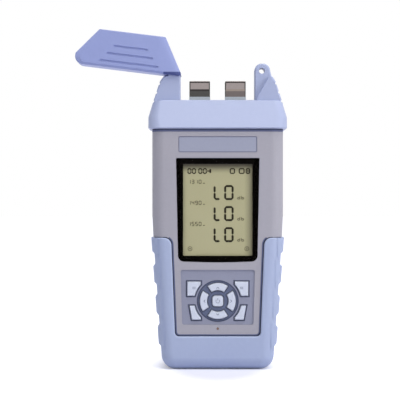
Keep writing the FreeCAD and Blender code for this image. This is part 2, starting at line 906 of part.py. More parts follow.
def key_face(name):
    if name == "key_centre":
        half = centre_key_size / 2
        low, high = cluster_z - half, cluster_z + half
        return front_face(mirrored([(half, high, centre_key_radius), (half, low, centre_key_radius)]))
    if name in cluster_key_names:
        return arc_key_face(90 * (cluster_key_names.index(name) - 1))
    return corner_key_face(name)


def grown_key(name, grow, y0, y1):
    """A key's outline drawn outwards all round, square at its corners, as a block from y0 to y1."""
    face = key_face(name).makeOffset2D(grow, 2)
    face.translate(vec(0, y0, 0))
    return face.extrude(vec(0, y1 - y0, 0))


def keycap(name):
    """Hard cap with a flange behind, which the domes hold against the inside of the case."""
    top = front_y + keypad_depth - key_proud
    face = key_face(name)
    face.translate(vec(0, top, 0))
    cap = face.extrude(vec(0, inner_front_y - top, 0))
    rim = edges_where(cap, lambda b: b.YMax < top + same_place)
    cap = cap.makeChamfer(key_bevel, rim)
    return one_solid(cap.fuse(grown_key(name, key_flange, inner_front_y, flange_back_y)))


def keypad_surround():
    """Thin disc let into the recess round the cluster, pierced for its keys."""
    y0 = front_y + keypad_depth
    disc = rod(0, cluster_z, surround_radius, y0, y0 + surround_thickness)
    for name in cluster_key_names:
        disc = disc.cut(grown_key(name, key_gap, y0 - past, y0 + surround_thickness + past))
    return one_solid(disc)


def key_centres():
    return [key_face(name).CenterOfMass for name in key_names]


def keypad_mat():
    """Silicone sheet between the keys and the domes on the board."""
    return box(-mat_half_width, mat_half_width, mat_front_y, mat_back_y, keypad_low, mat_high)


def key_domes():
    """Four-legged snap domes, one behind each key."""
    legs = [(dome_half_width, dome_foot_half_width), (dome_half_width, -dome_foot_half_width),
            (dome_foot_half_width, -dome_half_width)]
    outline = mirrored([(dome_foot_half_width, dome_half_width)] + legs)
    domes = []
    for centre in key_centres():
        domes.append(prism([(centre.x + u, centre.z + v) for u, v in outline], mat_back_y, board_front_y))
    return domes


def status_led():
    lens = rod(0, led_z, led_radius, front_y - led_proud, board_front_y)
    base = rod(0, led_z, led_base_radius, board_front_y - led_base_height, board_front_y)
    return lens.fuse(base).removeSplitter()


# ---------------------------------------------------------------- board and optics

def main_board():
    corners = mirrored([(board_half_width, board_high, board_corner_radius),
                        (board_half_width, board_low, board_corner_radius)])
    board = prism(corners, board_front_y, board_rear_y)
    for x, z in board_screw_places():
        board = board.cut(rod(x, z, board_screw_radius + screw_hole_gap, board_front_y, board_rear_y))
    return board


def optical_module():
    """Sealed metal block on the board, with a collar where each fibre enters."""
    rear = board_rear_y + module_depth
    block = box(-module_half_width, module_half_width, board_rear_y, rear, module_low, module_high)
    block = block.makeChamfer(module_edge_bevel, edges_where(block, lambda b: b.YMin > rear - same_place))
    for side in (-1, 1):
        x = side * port_x
        block = block.fuse(post(x, 0, pigtail_radius + module_collar_wall, module_high - weld,
                                module_high + module_collar_height))
        block = block.cut(post(x, 0, pigtail_radius, module_high - pigtail_depth,
                               module_high + module_collar_height))
    return one_solid(block)


def pigtail(side):
    """Ferrule holder, its boot and the fibre that runs down into the optical module."""
    x = side * port_x
    boot_low = port_tail_low - pigtail_boot_length
    ferrule = post(x, 0, sleeve_radius, port_tail_low, sleeve_low)
    boot = post(x, 0, pigtail_boot_radius, boot_low, port_tail_low)
    fibre = post(x, 0, pigtail_radius, module_high - pigtail_depth, boot_low)
    return one_solid(fused([ferrule, boot, fibre]))


# ---------------------------------------------------------------- ports

def upright_box(half_x, half_y, z0, z1, x, corner=0.0):
    block = Part.Face(level_wire([(half_x, -half_y, corner)], z0)).extrude(vec(0, 0, z1 - z0))
    block.translate(vec(x, 0, 0))
    return block


def port_hole(side):
    """Cut through the deck and the plate that the adapter's tail passes."""
    return upright_box(port_tail_half_width + port_panel_fit, port_tail_half_depth + port_panel_fit,
                       plate_low - past, guard_deck + past, side * port_x)


def adapter(side):
    x = side * port_x
    body = upright_box(port_half_width, port_half_depth, guard_deck, port_top, x, port_corner_radius)
    body = body.makeChamfer(port_rim_bevel, edges_where(body, lambda b: b.ZMin > port_top - same_place))
    flange = upright_box(port_half_width + port_flange_overhang, port_half_depth + port_flange_overhang,
                         guard_deck, guard_deck + port_flange_height, x, port_corner_radius)
    tail = upright_box(port_tail_half_width, port_tail_half_depth, port_tail_low, guard_deck, x)
    body = fused([body, flange, tail])
    socket = upright_box(socket_half_width, socket_half_depth, socket_floor, port_top + past, x)
    lead_in = Part.makeLoft([socket_mouth(x, 0.0, port_top - socket_lead_in),
                             socket_mouth(x, socket_lead_in * 2, port_top + socket_lead_in)], True, True)
    key_slot = box(x - socket_key_half_width, x + socket_key_half_width,
                   0, socket_half_depth + socket_key_depth, socket_key_floor, port_top + past)
    body = body.cut(fused([socket, key_slot, lead_in]))
    body = body.fuse(post(x, 0, holder_radius, socket_floor - weld, sleeve_top - sleeve_proud))
    body = body.cut(post(x, 0, sleeve_radius, port_tail_low - past, sleeve_top + past))
    return one_solid(body.removeSplitter())


def socket_mouth(x, grow, z):
    mouth = level_wire([(socket_half_width + grow, -socket_half_depth - grow)], z)
    mouth.translate(vec(x, 0, 0))
    return mouth


def ferrule_sleeve(side):
    """Ceramic tube that a plugged-in ferrule slides into, down to the fixed one."""
    x = side * port_x
    tube = post(x, 0, sleeve_radius, sleeve_low, sleeve_top)
    return tube.cut(post(x, 0, sleeve_bore_radius, sleeve_low, sleeve_top))


def adapter_clip(side):
    """Flat spring clip pushed on from behind under the port plate."""
    x = side * port_x
    low = plate_low - clip_thickness
    ring = upright_box(port_tail_half_width + clip_rim, port_tail_half_depth + clip_rim, low, plate_low, x)
    ring = ring.cut(upright_box(port_tail_half_width, port_tail_half_depth, low, plate_low, x))
    mouth = port_tail_half_width - clip_catch
    return one_solid(ring.cut(box(x - mouth, x + mouth, 0, port_half_depth * 2, low, plate_low)))


def connector_plate():
    return plate_block(plate_fit).cut(port_hole(-1)).cut(port_hole(1))


# ---------------------------------------------------------------- cells and door

def cell_x(i):
    return (i - (cell_count - 1) / 2) * (2 * cell_radius + cell_gap)


def cell_y():
    return tray_floor_y + cell_radius


def cell(i):
    """Round cell; neighbours stand opposite ways up."""
    low = tray_low + contact_space
    body = post(cell_x(i), cell_y(), cell_radius, low, low + cell_length)
    body = body.fuse(post(cell_x(i), cell_y(), cell_button_radius, low + cell_length - weld,
                          low + cell_length + cell_button_height))
    if i % 2:
        middle = low + (cell_length + cell_button_height) / 2
        body.rotate(vec(cell_x(i), cell_y(), middle), vec(0, 1, 0), 180)
    return body.removeSplitter()


def contact_leaf(i, top):
    """Strip bent from one piece: flat on the tray wall, sprung out to the cell."""
    x = cell_x(i) - contact_half_width
    base = tray_high if top else tray_low
    up = -1 if top else 1
    half = contact_half_height
    profile = [(-half, 0), (half, 0), (half, contact_thickness), (contact_bend - half, contact_thickness),
               (contact_bend, contact_space - contact_thickness), (contact_bend, contact_space),
               (-half, contact_thickness)]
    wire = rounded_wire(profile, lambda u, v: vec(x, cell_y() + u, base + up * v))
    return Part.Face(wire).extrude(vec(2 * contact_half_width, 0, 0))


def cell_contacts():
    return [contact_leaf(i, top) for i in range(cell_count) for top in (False, True)]


def battery_door():
    inner_y = case_half_depth - door_thickness
    door = prism(door_outline(door_fit), inner_y, case_half_depth)
    rim = edges_where(door, lambda b: b.YMin > case_half_depth - same_place)
    door = door.makeChamfer(door_rim_bevel, rim)
    for i in range(door_ribs):
        z = door_screw_z - door_ribs_below_screw - i * door_rib_pitch
        door = door.fuse(box(-door_rib_half_length, door_rib_half_length, case_half_depth - weld,
                             case_half_depth + door_rib_height, z, z + door_rib_width))
    for side in (-1, 1):
        x = side * hook_x
        z0 = tray_low + hook_fit
        hook_y = inner_rear_y - hook_thickness
        door = door.fuse(box(x - hook_half_width, x + hook_half_width, hook_y, inner_y, z0, z0 + hook_leg))
        door = door.fuse(box(x - hook_half_width, x + hook_half_width, hook_y, inner_rear_y,
                             tray_low - hook_reach, z0 + hook_leg))
    door = door.cut(rod(0, door_screw_z, case_screw_radius + screw_hole_gap, inner_y, case_half_depth))
    door = door.cut(rod(0, door_screw_z, case_screw_head_radius + screw_head_gap, door_screw_seat_y(),
                        case_half_depth))
    return one_solid(door.removeSplitter())


def door_screw_seat_y():
    return case_half_depth - door_thickness / 2


def door_screw():
    return screw(0, door_screw_z, case_screw_radius, case_screw_head_radius, door_screw_head_height,
                 door_screw_seat_y(), inner_rear_y - door_screw_reach)


# ---------------------------------------------------------------- all of it

pieces = {
    "front_shell": front_shell(), "rear_shell": rear_shell(), "top_guard": top_guard(),
    "lower_boot": lower_boot(), "flip_cover": flip_cover(), "hinge_pin": hinge_pin(),
    "connector_plate": connector_plate(), "display_window": display_window(),
    "display_mask": display_mask(), "lcd_glass": lcd_glass(), "lcd_frame": lcd_frame(),
    "label_inlay": label_inlay(),
    "keypad_surround": keypad_surround(), "keypad_mat": keypad_mat(), "key_domes": key_domes(),
    "status_led": status_led(), "main_board": main_board(), "optical_module": optical_module(),
    "battery_door": battery_door(), "door_screw": door_screw(), "cell_contacts": cell_contacts(),
    "case_screws": case_screws(), "board_screws": board_screws(),
}
for name in key_names:
    pieces[name] = keycap(name)
for side, word in ((-1, "left"), (1, "right")):
    pieces[word + "_adapter"] = adapter(side)
    pieces[word + "_ferrule_sleeve"] = ferrule_sleeve(side)
    pieces[word + "_adapter_clip"] = adapter_clip(side)
    pieces[word + "_pigtail"] = pigtail(side)
for i in range(cell_count):
    pieces["cell_%d" % (i + 1)] = cell(i)

os.makedirs("parts", exist_ok=True)
for name, shape in pieces.items():
    if isinstance(shape, list):
        shape = Part.makeCompound(shape)
    shape.exportStep("parts/" + name + ".step")
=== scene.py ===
import math

import bmesh
import bpy
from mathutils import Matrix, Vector


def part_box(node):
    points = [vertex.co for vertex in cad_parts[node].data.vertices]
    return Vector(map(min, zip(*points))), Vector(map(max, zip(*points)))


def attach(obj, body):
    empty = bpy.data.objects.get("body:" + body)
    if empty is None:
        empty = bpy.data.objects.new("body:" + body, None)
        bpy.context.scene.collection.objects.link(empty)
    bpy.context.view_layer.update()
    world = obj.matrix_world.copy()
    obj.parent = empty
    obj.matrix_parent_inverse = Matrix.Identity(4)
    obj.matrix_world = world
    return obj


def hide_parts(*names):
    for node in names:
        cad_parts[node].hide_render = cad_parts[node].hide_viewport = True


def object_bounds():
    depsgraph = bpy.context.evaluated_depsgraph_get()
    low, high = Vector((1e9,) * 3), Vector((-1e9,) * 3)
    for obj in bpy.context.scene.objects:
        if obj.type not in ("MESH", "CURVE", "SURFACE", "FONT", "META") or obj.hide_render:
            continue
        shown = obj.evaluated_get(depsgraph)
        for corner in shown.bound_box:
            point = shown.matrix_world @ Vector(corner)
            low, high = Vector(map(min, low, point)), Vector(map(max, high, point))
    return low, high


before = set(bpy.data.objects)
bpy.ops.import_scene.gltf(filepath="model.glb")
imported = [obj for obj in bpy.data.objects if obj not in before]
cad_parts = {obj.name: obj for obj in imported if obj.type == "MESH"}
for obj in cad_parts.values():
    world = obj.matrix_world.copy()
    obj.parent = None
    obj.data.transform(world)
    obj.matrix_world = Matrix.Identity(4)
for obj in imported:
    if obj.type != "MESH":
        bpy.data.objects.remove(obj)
cad_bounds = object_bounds()
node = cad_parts

# ---- table, room and camera ----
# The meter stands on a white laminate table in a white room that is lightest high up at the
# right, with a lamp box above it and one at each side. The camera, mirrors and clear plastic
# see that white at full strength, and everything else is lit by it at a plain level.
VIEW_WIDTH = 0.2572             # metres across the view at the meter
CAMERA_DISTANCE = 1.0
CAMERA_X = -0.01145
CAMERA_Z = 0.1093
ROOM_LIGHT = 0.36
WINDOW_WAY = (0.65, -0.15, 0.75)    # towards the lightest part of the room
DIM_SIDE = 0.45                 # of the room's light
LIT_SIDE = 1.6
# The table's glow for the camera is lowered in an ellipse round the meter: a painted shade.
SHADE_STRETCH = (1.2, 0.45, 0.0)    # the shade is an ellipse, longer to the front and the rear
SHADE_START = 0.026
SHADE_REACH = 0.062             # how far out from the meter its shade can be seen on the table
SHADED_GLOW = 0.10
OPEN_GLOW = 0.75


def srgb(code):
    """Linear colour with alpha from an sRGB hex code."""
    parts = [int(code[i:i + 2], 16) / 255 for i in (1, 3, 5)]
    return tuple(c / 12.92 if c <= 0.04045 else ((c + 0.055) / 1.055) ** 2.4 for c in parts) + (1.0,)


def add(tree, kind, settings=None, links=None):
    """Adds one shader or geometry node with its settings and the sockets that feed it."""
    item = tree.nodes.new(kind)
    for key, value in (settings or {}).items():
        if isinstance(key, str) and hasattr(item, key):
            setattr(item, key, value)
        else:
            item.inputs[key].default_value = value
    for key, source in (links or {}).items():
        tree.links.new(source, item.inputs[key])
    return item


def new_material(name):
    """Empty node material and its tree."""
    material = bpy.data.materials.new(name)
    material.use_nodes = True
    material.node_tree.nodes.clear()
    return material, material.node_tree


def seen_white(tree):
    """1 for the camera, for mirrors and through clear plastic, 0 for the light on the meter."""
    path = add(tree, "ShaderNodeLightPath")
    eye = add(tree, "ShaderNodeMath", {"operation": "MAXIMUM"},
              {0: path.outputs["Is Camera Ray"], 1: path.outputs["Is Glossy Ray"]})
    return add(tree, "ShaderNodeMath", {"operation": "MAXIMUM"},
               {0: eye.outputs[0], 1: path.outputs["Is Transmission Ray"]})


# Laminate pressed against a matt plate: unbroken white. Its glow is turned down in an ellipse round the
# meter, a painted shade in which the real shadow also shows.
table_white, tree = new_material("laminate_white_matt")
place = add(tree, "ShaderNodeTexCoord")
flat_place = add(tree, "ShaderNodeVectorMath", {"operation": "MULTIPLY", 1: SHADE_STRETCH},
                 {0: place.outputs["Object"]})
away = add(tree, "ShaderNodeVectorMath", {"operation": "LENGTH"}, {0: flat_place.outputs[0]})
open_table = add(tree, "ShaderNodeMapRange",
                 {"interpolation_type": "SMOOTHSTEP", "From Min": SHADE_START, "From Max": SHADE_REACH,
                  "To Min": SHADED_GLOW, "To Max": OPEN_GLOW},
                 {"Value": away.outputs["Value"]})
seen = seen_white(tree)
level = add(tree, "ShaderNodeMath", {"operation": "MULTIPLY"}, {0: seen.outputs[0], 1: open_table.outputs[0]})
glow = add(tree, "ShaderNodeEmission", {"Color": (1, 1, 1, 1)}, {"Strength": level.outputs[0]})
matt = add(tree, "ShaderNodeBsdfDiffuse", {"Color": srgb("#dfe0ee"), "Roughness": 0.6})
both = add(tree, "ShaderNodeAddShader", None, {0: matt.outputs[0], 1: glow.outputs[0]})
add(tree, "ShaderNodeOutputMaterial", None, {"Surface": both.outputs[0]})

table_mesh = bpy.data.meshes.new("table_top")
table_mesh.from_pydata([(-6, -3, 0), (6, -3, 0), (6, 9, 0), (-6, 9, 0)], [], [(0, 1, 2, 3)])
table_mesh.materials.append(table_white)
table_top = bpy.data.objects.new("table_top", table_mesh)
bpy.context.scene.collection.objects.link(table_top)

world = bpy.data.worlds.new("white_room")
world.use_nodes = True
bpy.context.scene.world = world
tree = world.node_tree
tree.nodes.clear()
way = add(tree, "ShaderNodeTexCoord")
toward = add(tree, "ShaderNodeVectorMath", {"operation": "DOT_PRODUCT", 1: WINDOW_WAY},
             {0: way.outputs["Generated"]})
fall = add(tree, "ShaderNodeMapRange",
           {"From Min": -1.0, "From Max": 1.0,
            "To Min": ROOM_LIGHT * DIM_SIDE, "To Max": ROOM_LIGHT * LIT_SIDE},
           {"Value": toward.outputs["Value"]})
lit = add(tree, "ShaderNodeBackground", {"Color": (1, 1, 1, 1)}, {"Strength": fall.outputs[0]})
bare = add(tree, "ShaderNodeBackground", {"Color": (1, 1, 1, 1), "Strength": 1.0})
either = add(tree, "ShaderNodeMixShader", None,
             {0: seen_white(tree).outputs[0], 1: lit.outputs[0], 2: bare.outputs[0]})
add(tree, "ShaderNodeOutputWorld", None, {"Surface": either.outputs[0]})


def soft_lamp(name, place, size, power):
    """Rectangular lamp facing the middle of the meter."""
    lamp = bpy.data.lights.new(name, "AREA")
    lamp.shape = "RECTANGLE"
    lamp.size, lamp.size_y = size
    lamp.energy = power
    holder = bpy.data.objects.new(name, lamp)
    holder.location = place
    aim = Vector((0, 0, CAMERA_Z)) - Vector(place)
    holder.rotation_euler = aim.to_track_quat("-Z", "Y").to_euler()
    bpy.context.scene.collection.objects.link(holder)


soft_lamp("top_box", place=(0.15, -0.35, 1.1), size=(0.9, 0.7), power=6.4)
soft_lamp("right_box", place=(1.0, -0.6, 0.45), size=(0.5, 0.9), power=5.0)
soft_lamp("left_box", place=(-1.0, -0.9, 0.35), size=(0.5, 0.8), power=0.8)

camera_data = bpy.data.cameras.new("camera")
camera_data.sensor_width = 36.0
camera_data.lens = camera_data.sensor_width * CAMERA_DISTANCE / VIEW_WIDTH
camera = bpy.data.objects.new("camera", camera_data)
camera.location = (CAMERA_X, cad_bounds[0].y - CAMERA_DISTANCE, CAMERA_Z)
camera.rotation_euler = (math.radians(90), 0, 0)
bpy.context.scene.collection.objects.link(camera)
bpy.context.scene.camera = camera
bpy.context.scene.view_settings.view_transform = "Standard"


# ---- case shells ----
# Front and rear half shells injection moulded in grey ABS, parted along the sides and screwed
# together from behind. The mould was spark eroded, and the edges come out slightly soft.
MM = 0.001
NOISE_SPOT = 0.5                # a noise of scale 1 has spots about this many metres across
CLOUD_MM = 30.0                 # the slow drift in a moulding's colour
SPECK = 0.5                     # how much of the grain shows in the colour
SAME_POINT = 0.002 * MM         # nearer than this, two corners are one
FLAT = math.radians(0.5)        # faces that meet at less than this are one flat
SHARP = math.radians(34)        # an edge that turns more than this is eased
CREASE = math.radians(50)       # and one that turns more than this stays a crease


def grain(tree, size_mm, detail=2.0):
    """Even noise whose spots are about size_mm across."""
    place = add(tree, "ShaderNodeTexCoord")
    return add(tree, "ShaderNodeTexNoise",
               {"Scale": NOISE_SPOT / (size_mm * MM), "Detail": detail, "Roughness": 0.6},
               {"Vector": place.outputs["Object"]})


def moulded(name, code, shade, roughness, grain_mm, depth_mm, level=0.5):
    """Moulded or printed polymer: its colour drifts to a shade in clouds and specks, and a grain
    breaks its sheen. Real grains of 0.05 to 0.1 mm are drawn about ten times as coarse, to show."""
    material, tree = new_material(name)
    fine = grain(tree, grain_mm)
    broad = grain(tree, CLOUD_MM, 1.0)
    specks = add(tree, "ShaderNodeMath", {"operation": "MULTIPLY_ADD", 1: SPECK, 2: -SPECK / 2},
                 {0: fine.outputs["Fac"]})
    blend = add(tree, "ShaderNodeMath", {"operation": "ADD", "use_clamp": True},
                {0: broad.outputs["Fac"], 1: specks.outputs[0]})
    colour = add(tree, "ShaderNodeMix", {"data_type": "RGBA", 6: srgb(code), 7: srgb(shade)},
                 {0: blend.outputs[0]})
    gloss = add(tree, "ShaderNodeMapRange", {"To Min": roughness - 0.06, "To Max": roughness + 0.08},
                {"Value": fine.outputs["Fac"]})
    bump = add(tree, "ShaderNodeBump", {"Strength": 0.4, "Distance": depth_mm * MM},
               {"Height": fine.outputs["Fac"]})
    skin = add(tree, "ShaderNodeBsdfPrincipled", {"IOR": 1.5, "Specular IOR Level": level},
               {"Base Color": colour.outputs[2], "Roughness": gloss.outputs[0], "Normal": bump.outputs[0]})
    add(tree, "ShaderNodeOutputMaterial", None, {"Surface": skin.outputs[0]})
    return material


def finish(material, *names):
    """Gives CAD nodes their finish."""
    for name in names:
        data = node[name].data
        data.materials.clear()
        data.materials.append(material)


def merged(name):
    """A node's mesh with its loose triangles joined and its flat areas cleared of inner edges."""
    skin = bmesh.new()
    skin.from_mesh(node[name].data)
    bmesh.ops.remove_doubles(skin, verts=skin.verts, dist=SAME_POINT)
    bmesh.ops.dissolve_limit(skin, angle_limit=FLAT, verts=skin.verts, edges=skin.edges)
    return skin


def shown(name, shape, material):
    """Makes a bmesh an object in the scene."""
    mesh = bpy.data.meshes.new(name)
    shape.to_mesh(mesh)
    shape.free()
    mesh.materials.append(material)
    piece = bpy.data.objects.new(name, mesh)
    bpy.context.scene.collection.objects.link(piece)
    return piece


def new_piece(name, shape, material, body="housing"):
    """Makes a bmesh a shown piece that rides on a body."""
    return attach(shown(name, shape, material), body)


def plain_mesh(piece):
    """Turns a piece's modifiers into plain geometry."""
    settled = bpy.context.evaluated_depsgraph_get()
    mesh = bpy.data.meshes.new_from_object(piece.evaluated_get(settled))
    piece.modifiers.clear()
    piece.data = mesh


def softened(name, material, edge_mm, body="housing"):
    """Stands for a moulded node: the same form, smooth where it curves, its sharp edges eased."""
    finish(material, name)
    shape = merged(name)
    for face in shape.faces:
        face.smooth = True
    piece = shown(name + "_skin", shape, material)
    ease = piece.modifiers.new("ease", "BEVEL")
    ease.width = edge_mm * MM
    ease.segments = 2
    ease.limit_method = "ANGLE"
    ease.angle_limit = SHARP
    even = piece.modifiers.new("even", "WEIGHTED_NORMAL")
    even.keep_sharp = True
    plain_mesh(piece)
    piece.data.set_sharp_from_angle(angle=CREASE)
    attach(piece, body)
    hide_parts(name)


# Spark-eroded ABS: a flat warm grey with fine even specks and no clear highlight.
case_abs = moulded("abs_grey_spark_eroded", "#b0aeb7", "#a3a1ab",
                   roughness=0.55, grain_mm=0.9, depth_mm=0.05)
softened("front_shell", case_abs, edge_mm=0.25)
softened("rear_shell", case_abs, edge_mm=0.25)


# ---- circuit board, optical module and fibres ----
# One glass-epoxy board behind the display and the keys, with a die-cast detector module on its
# back. Two short jacketed fibres run from the module up to the ports.
def metal(name, code, shade, roughness, mark_mm, stretch=(1.0, 1.0, 1.0)):
    """Bare or plated metal with marks of mark_mm, drawn out where its finish has a direction.
    The real marks are too fine to show, so they are drawn several times as coarse."""
    material, tree = new_material(name)
    place = add(tree, "ShaderNodeTexCoord")
    drawn = add(tree, "ShaderNodeMapping", {"Scale": stretch}, {"Vector": place.outputs["Object"]})
    marks = add(tree, "ShaderNodeTexNoise", {"Scale": NOISE_SPOT / (mark_mm * MM), "Detail": 2.0},
                {"Vector": drawn.outputs[0]})
    tone = add(tree, "ShaderNodeMix", {"data_type": "RGBA", 6: srgb(code), 7: srgb(shade)},
               {0: marks.outputs["Fac"]})
    rough = add(tree, "ShaderNodeMapRange", {"To Min": roughness - 0.05, "To Max": roughness + 0.1},
                {"Value": marks.outputs["Fac"]})
    skin = add(tree, "ShaderNodeBsdfPrincipled", {"Metallic": 1.0},
               {"Base Color": tone.outputs[2], "Roughness": rough.outputs[0]})
    add(tree, "ShaderNodeOutputMaterial", None, {"Surface": skin.outputs[0]})
    return material


# Solder mask cured over copper: deep green with a wet shine.
finish(moulded("epoxy_board_green", "#1e5a33", "#174a29", roughness=0.35, grain_mm=0.9, depth_mm=0.01),
       "main_board")
# Zinc as it leaves the die: dull silver grey, slightly blotchy.
finish(metal("zinc_alloy_die_cast", "#a9abae", "#96989c", roughness=0.45, mark_mm=1.0), "optical_module")
# Extruded fibre jacket: clear yellow with a soft sheen.
finish(moulded("fibre_jacket_yellow", "#e2b53a", "#d4a52c", roughness=0.45, grain_mm=0.6, depth_mm=0.03),
       "left_pigtail", "right_pigtail")


# ---- liquid crystal display ----
# Reflective twisted nematic glass in a black nylon frame: an olive field with painted shade from
# the frame along its top and sides, with segments switched on as near-black marks just above the field.
MARK_LIFT = 0.03 * MM
glass_low, glass_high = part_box("lcd_glass")
mark_y = glass_low.y - MARK_LIFT
glass_foot, glass_head = glass_low.z / MM, glass_high.z / MM
# Where the painted shade from the frame starts at each edge, where it is deepest, and how deep it is there.
FRAME_SHADE_RIGHT = (glass_high.x - 8.4 * MM, glass_high.x - 3.0 * MM, 0.6)
FRAME_SHADE_LEFT = (glass_low.x + 5.4 * MM, glass_low.x + 2.9 * MM, 0.22)
FRAME_SHADE_TOP = (glass_high.z - 9.6 * MM, glass_high.z - 3.2 * MM, 1.0)


def crystal_field():
    """Olive field with a cloudy diffuser behind it, which gives the eye a dry, faintly woven matt."""
    material, tree = new_material("liquid_crystal_olive_field")
    haze = grain(tree, 16.0, 1.0)
    weave = grain(tree, 0.7)
    tone = add(tree, "ShaderNodeMix", {"data_type": "RGBA", 6: srgb("#c4c09a"), 7: srgb("#bab58d")},
               {0: haze.outputs["Fac"]})
    woven = add(tree, "ShaderNodeMix", {"data_type": "RGBA", "blend_type": "MULTIPLY", 0: 0.05},
                {6: tone.outputs[2], 7: weave.outputs["Color"]})
    place = add(tree, "ShaderNodeTexCoord")
    parts = add(tree, "ShaderNodeSeparateXYZ", None, {0: place.outputs["Object"]})
    darks = []
    for (start, end, depth), axis, ease in ((FRAME_SHADE_RIGHT, "X", "LINEAR"), (FRAME_SHADE_LEFT, "X", "LINEAR"),
                                            (FRAME_SHADE_TOP, "Z", "SMOOTHSTEP")):
        dark = add(tree, "ShaderNodeMapRange",
                   {"interpolation_type": ease, "From Min": start, "From Max": end,
                    "To Min": 0.0, "To Max": depth},
                   {"Value": parts.outputs[axis]})
        darks.append(dark.outputs[0])
    sides = add(tree, "ShaderNodeMath", {"operation": "MAXIMUM"}, {0: darks[0], 1: darks[1]})
    frame_shade = add(tree, "ShaderNodeMath", {"operation": "MAXIMUM"}, {0: sides.outputs[0], 1: darks[2]})
    # Painted shade from the frame, mixed in towards the top and side edges.
    edged = add(tree, "ShaderNodeMix", {"data_type": "RGBA", 7: srgb("#5c584a")},
                {0: frame_shade.outputs[0], 6: woven.outputs[2]})
    face = add(tree, "ShaderNodeBsdfPrincipled", {"Roughness": 0.45, "IOR": 1.52, "Specular IOR Level": 0.2},
               {"Base Color": edged.outputs[2]})
    add(tree, "ShaderNodeOutputMaterial", None, {"Surface": face.outputs[0]})
    return material


finish(crystal_field(), "lcd_glass")

# Switched segments: brown-black and flat, the small ones thin enough to look grey.
segment_dark = moulded("liquid_crystal_segment_dark", "#2c281e", "#363225",
                       roughness=0.5, grain_mm=1.5, depth_mm=0.005, level=0.1)
segment_faint = moulded("liquid_crystal_segment_faint", "#605b46", "#6a654e",
                        roughness=0.5, grain_mm=1.5, depth_mm=0.005, level=0.1)


def flat_shape(shape, points):
    """Flat polygon just in front of the glass, facing the front, from (x, z) points in millimetres."""
    face = shape.faces.new([shape.verts.new((x * MM, mark_y, z * MM)) for x, z in points])
    face.normal_update()
    if face.normal.y > 0:
        face.normal_flip()


def bar(shape, x0, z0, x1, z1, width):
    """Straight segment with pointed ends."""
    along = Vector((x1 - x0, z1 - z0)).normalized()
    side = Vector((-along.y, along.x)) * width / 2
    tip = along * width / 2
    a, b = Vector((x0, z0)), Vector((x1, z1))
    flat_shape(shape, [a, a + tip + side, b - tip + side, b, b - tip - side, a + tip - side])


def arc(x, z, radius, start, count, width):
    """Strokes (x0, z0, x1, z1, width) along a ring from a start in degrees, an eighth of a turn each."""
    angles = [math.radians(start + 45 * step) for step in range(count + 1)]
    spots = [(x + radius * math.cos(angle), z + radius * math.sin(angle)) for angle in angles]
    return [(*a, *b, width) for a, b in zip(spots, spots[1:])]


LIT_SEGMENTS = {"0": "abcdef", "1": "bc", "3": "abcdg", "4": "bcfg", "5": "acdfg", "9": "abcdfg",
                "L": "def", "d": "bcdeg", "b": "cdefg"}


def figure(shape, sign, x, z, width, height, thick):
    """Seven-segment figure with its lower left corner at x, z."""
    half = height / 2
    ends = {"a": (0, height, width, height), "b": (width, half, width, height), "c": (width, 0, width, half),
            "d": (0, 0, width, 0), "e": (0, 0, 0, half), "f": (0, half, 0, height),
            "g": (0, half, width, half)}
    for segment in LIT_SEGMENTS[sign]:
        x0, z0, x1, z1 = ends[segment]
        bar(shape, x + x0, z + z0, x + x1, z + z1, thick)


# Three readings below each other, each with its unit at the right and its wavelength above it.
# The places of all the figures are in millimetres, across from the middle of the meter.
READING_PITCH = 13.6
READING_FOOT = glass_head - 25.7
READING_HEIGHT = 8.4
READING_STROKE = 1.4
WAVELENGTHS = ("1310", "1490", "1550")
CAPTION_LEFT = -19.0
CAPTION_PITCH = 2.3
CAPTION_ABOVE = 10.0            # above the foot of its reading
UNIT_LEFT = 12.8
UNIT_PITCH = 2.5
SMALL_STROKE = 0.5
DASH_STROKE = 0.6
readings = bmesh.new()
captions = bmesh.new()
for row, wavelength in enumerate(WAVELENGTHS):
    foot = READING_FOOT - row * READING_PITCH
    caption_foot = foot + CAPTION_ABOVE
    figure(readings, "L", -2.0, foot, width=3.4, height=READING_HEIGHT, thick=READING_STROKE)
    figure(readings, "0", 4.8, foot, width=4.8, height=READING_HEIGHT, thick=READING_STROKE)
    for i, letter in enumerate("db"):
        figure(captions, letter, UNIT_LEFT + i * UNIT_PITCH, foot, width=1.5, height=2.0, thick=SMALL_STROKE)
    for i, sign in enumerate(wavelength):
        figure(captions, sign, CAPTION_LEFT + i * CAPTION_PITCH, caption_foot, width=1.4, height=2.3,
               thick=SMALL_STROKE)
    bar(captions, -9.6, caption_foot + 0.2, -8.2, caption_foot + 0.2, DASH_STROKE)
new_piece("lcd_readings", readings, segment_dark)
new_piece("lcd_captions", captions, segment_faint)

# The status row: a counter and its pointer at the left, three outlined boxes at the right.
STATUS_FOOT = glass_head - 9.1
STATUS_RISE = 3.0
STATUS_STROKE = 0.8
COUNTER_PLACES = (-19.2, -16.3, -12.2, -9.3)
POINTER_TIP = -7.0
POINTER_BACK = -4.8
BOX_SIDES = ((8.1, 10.8), (13.9, 17.0), (18.4, 20.6))
status_head = STATUS_FOOT + STATUS_RISE
status_middle = STATUS_FOOT + STATUS_RISE / 2
status_row = bmesh.new()
for x in COUNTER_PLACES:
    figure(status_row, "0", x, STATUS_FOOT, width=1.9, height=STATUS_RISE, thick=STATUS_STROKE)
bar(status_row, POINTER_BACK, STATUS_FOOT, POINTER_BACK, status_head, 1.1)
bar(status_row, POINTER_TIP, status_middle, POINTER_BACK, status_middle, STATUS_STROKE)
for left, right in BOX_SIDES:
    bar(status_row, left, STATUS_FOOT, right, STATUS_FOOT, STATUS_STROKE)
    bar(status_row, left, status_head, right, status_head, STATUS_STROKE)
    bar(status_row, left, STATUS_FOOT, left, status_head, STATUS_STROKE)
    bar(status_row, right, STATUS_FOOT, right, status_head, STATUS_STROKE)
bar(status_row, 18.9, status_middle, 20.1, status_middle, 1.8)
new_piece("lcd_status_row", status_row, segment_dark)

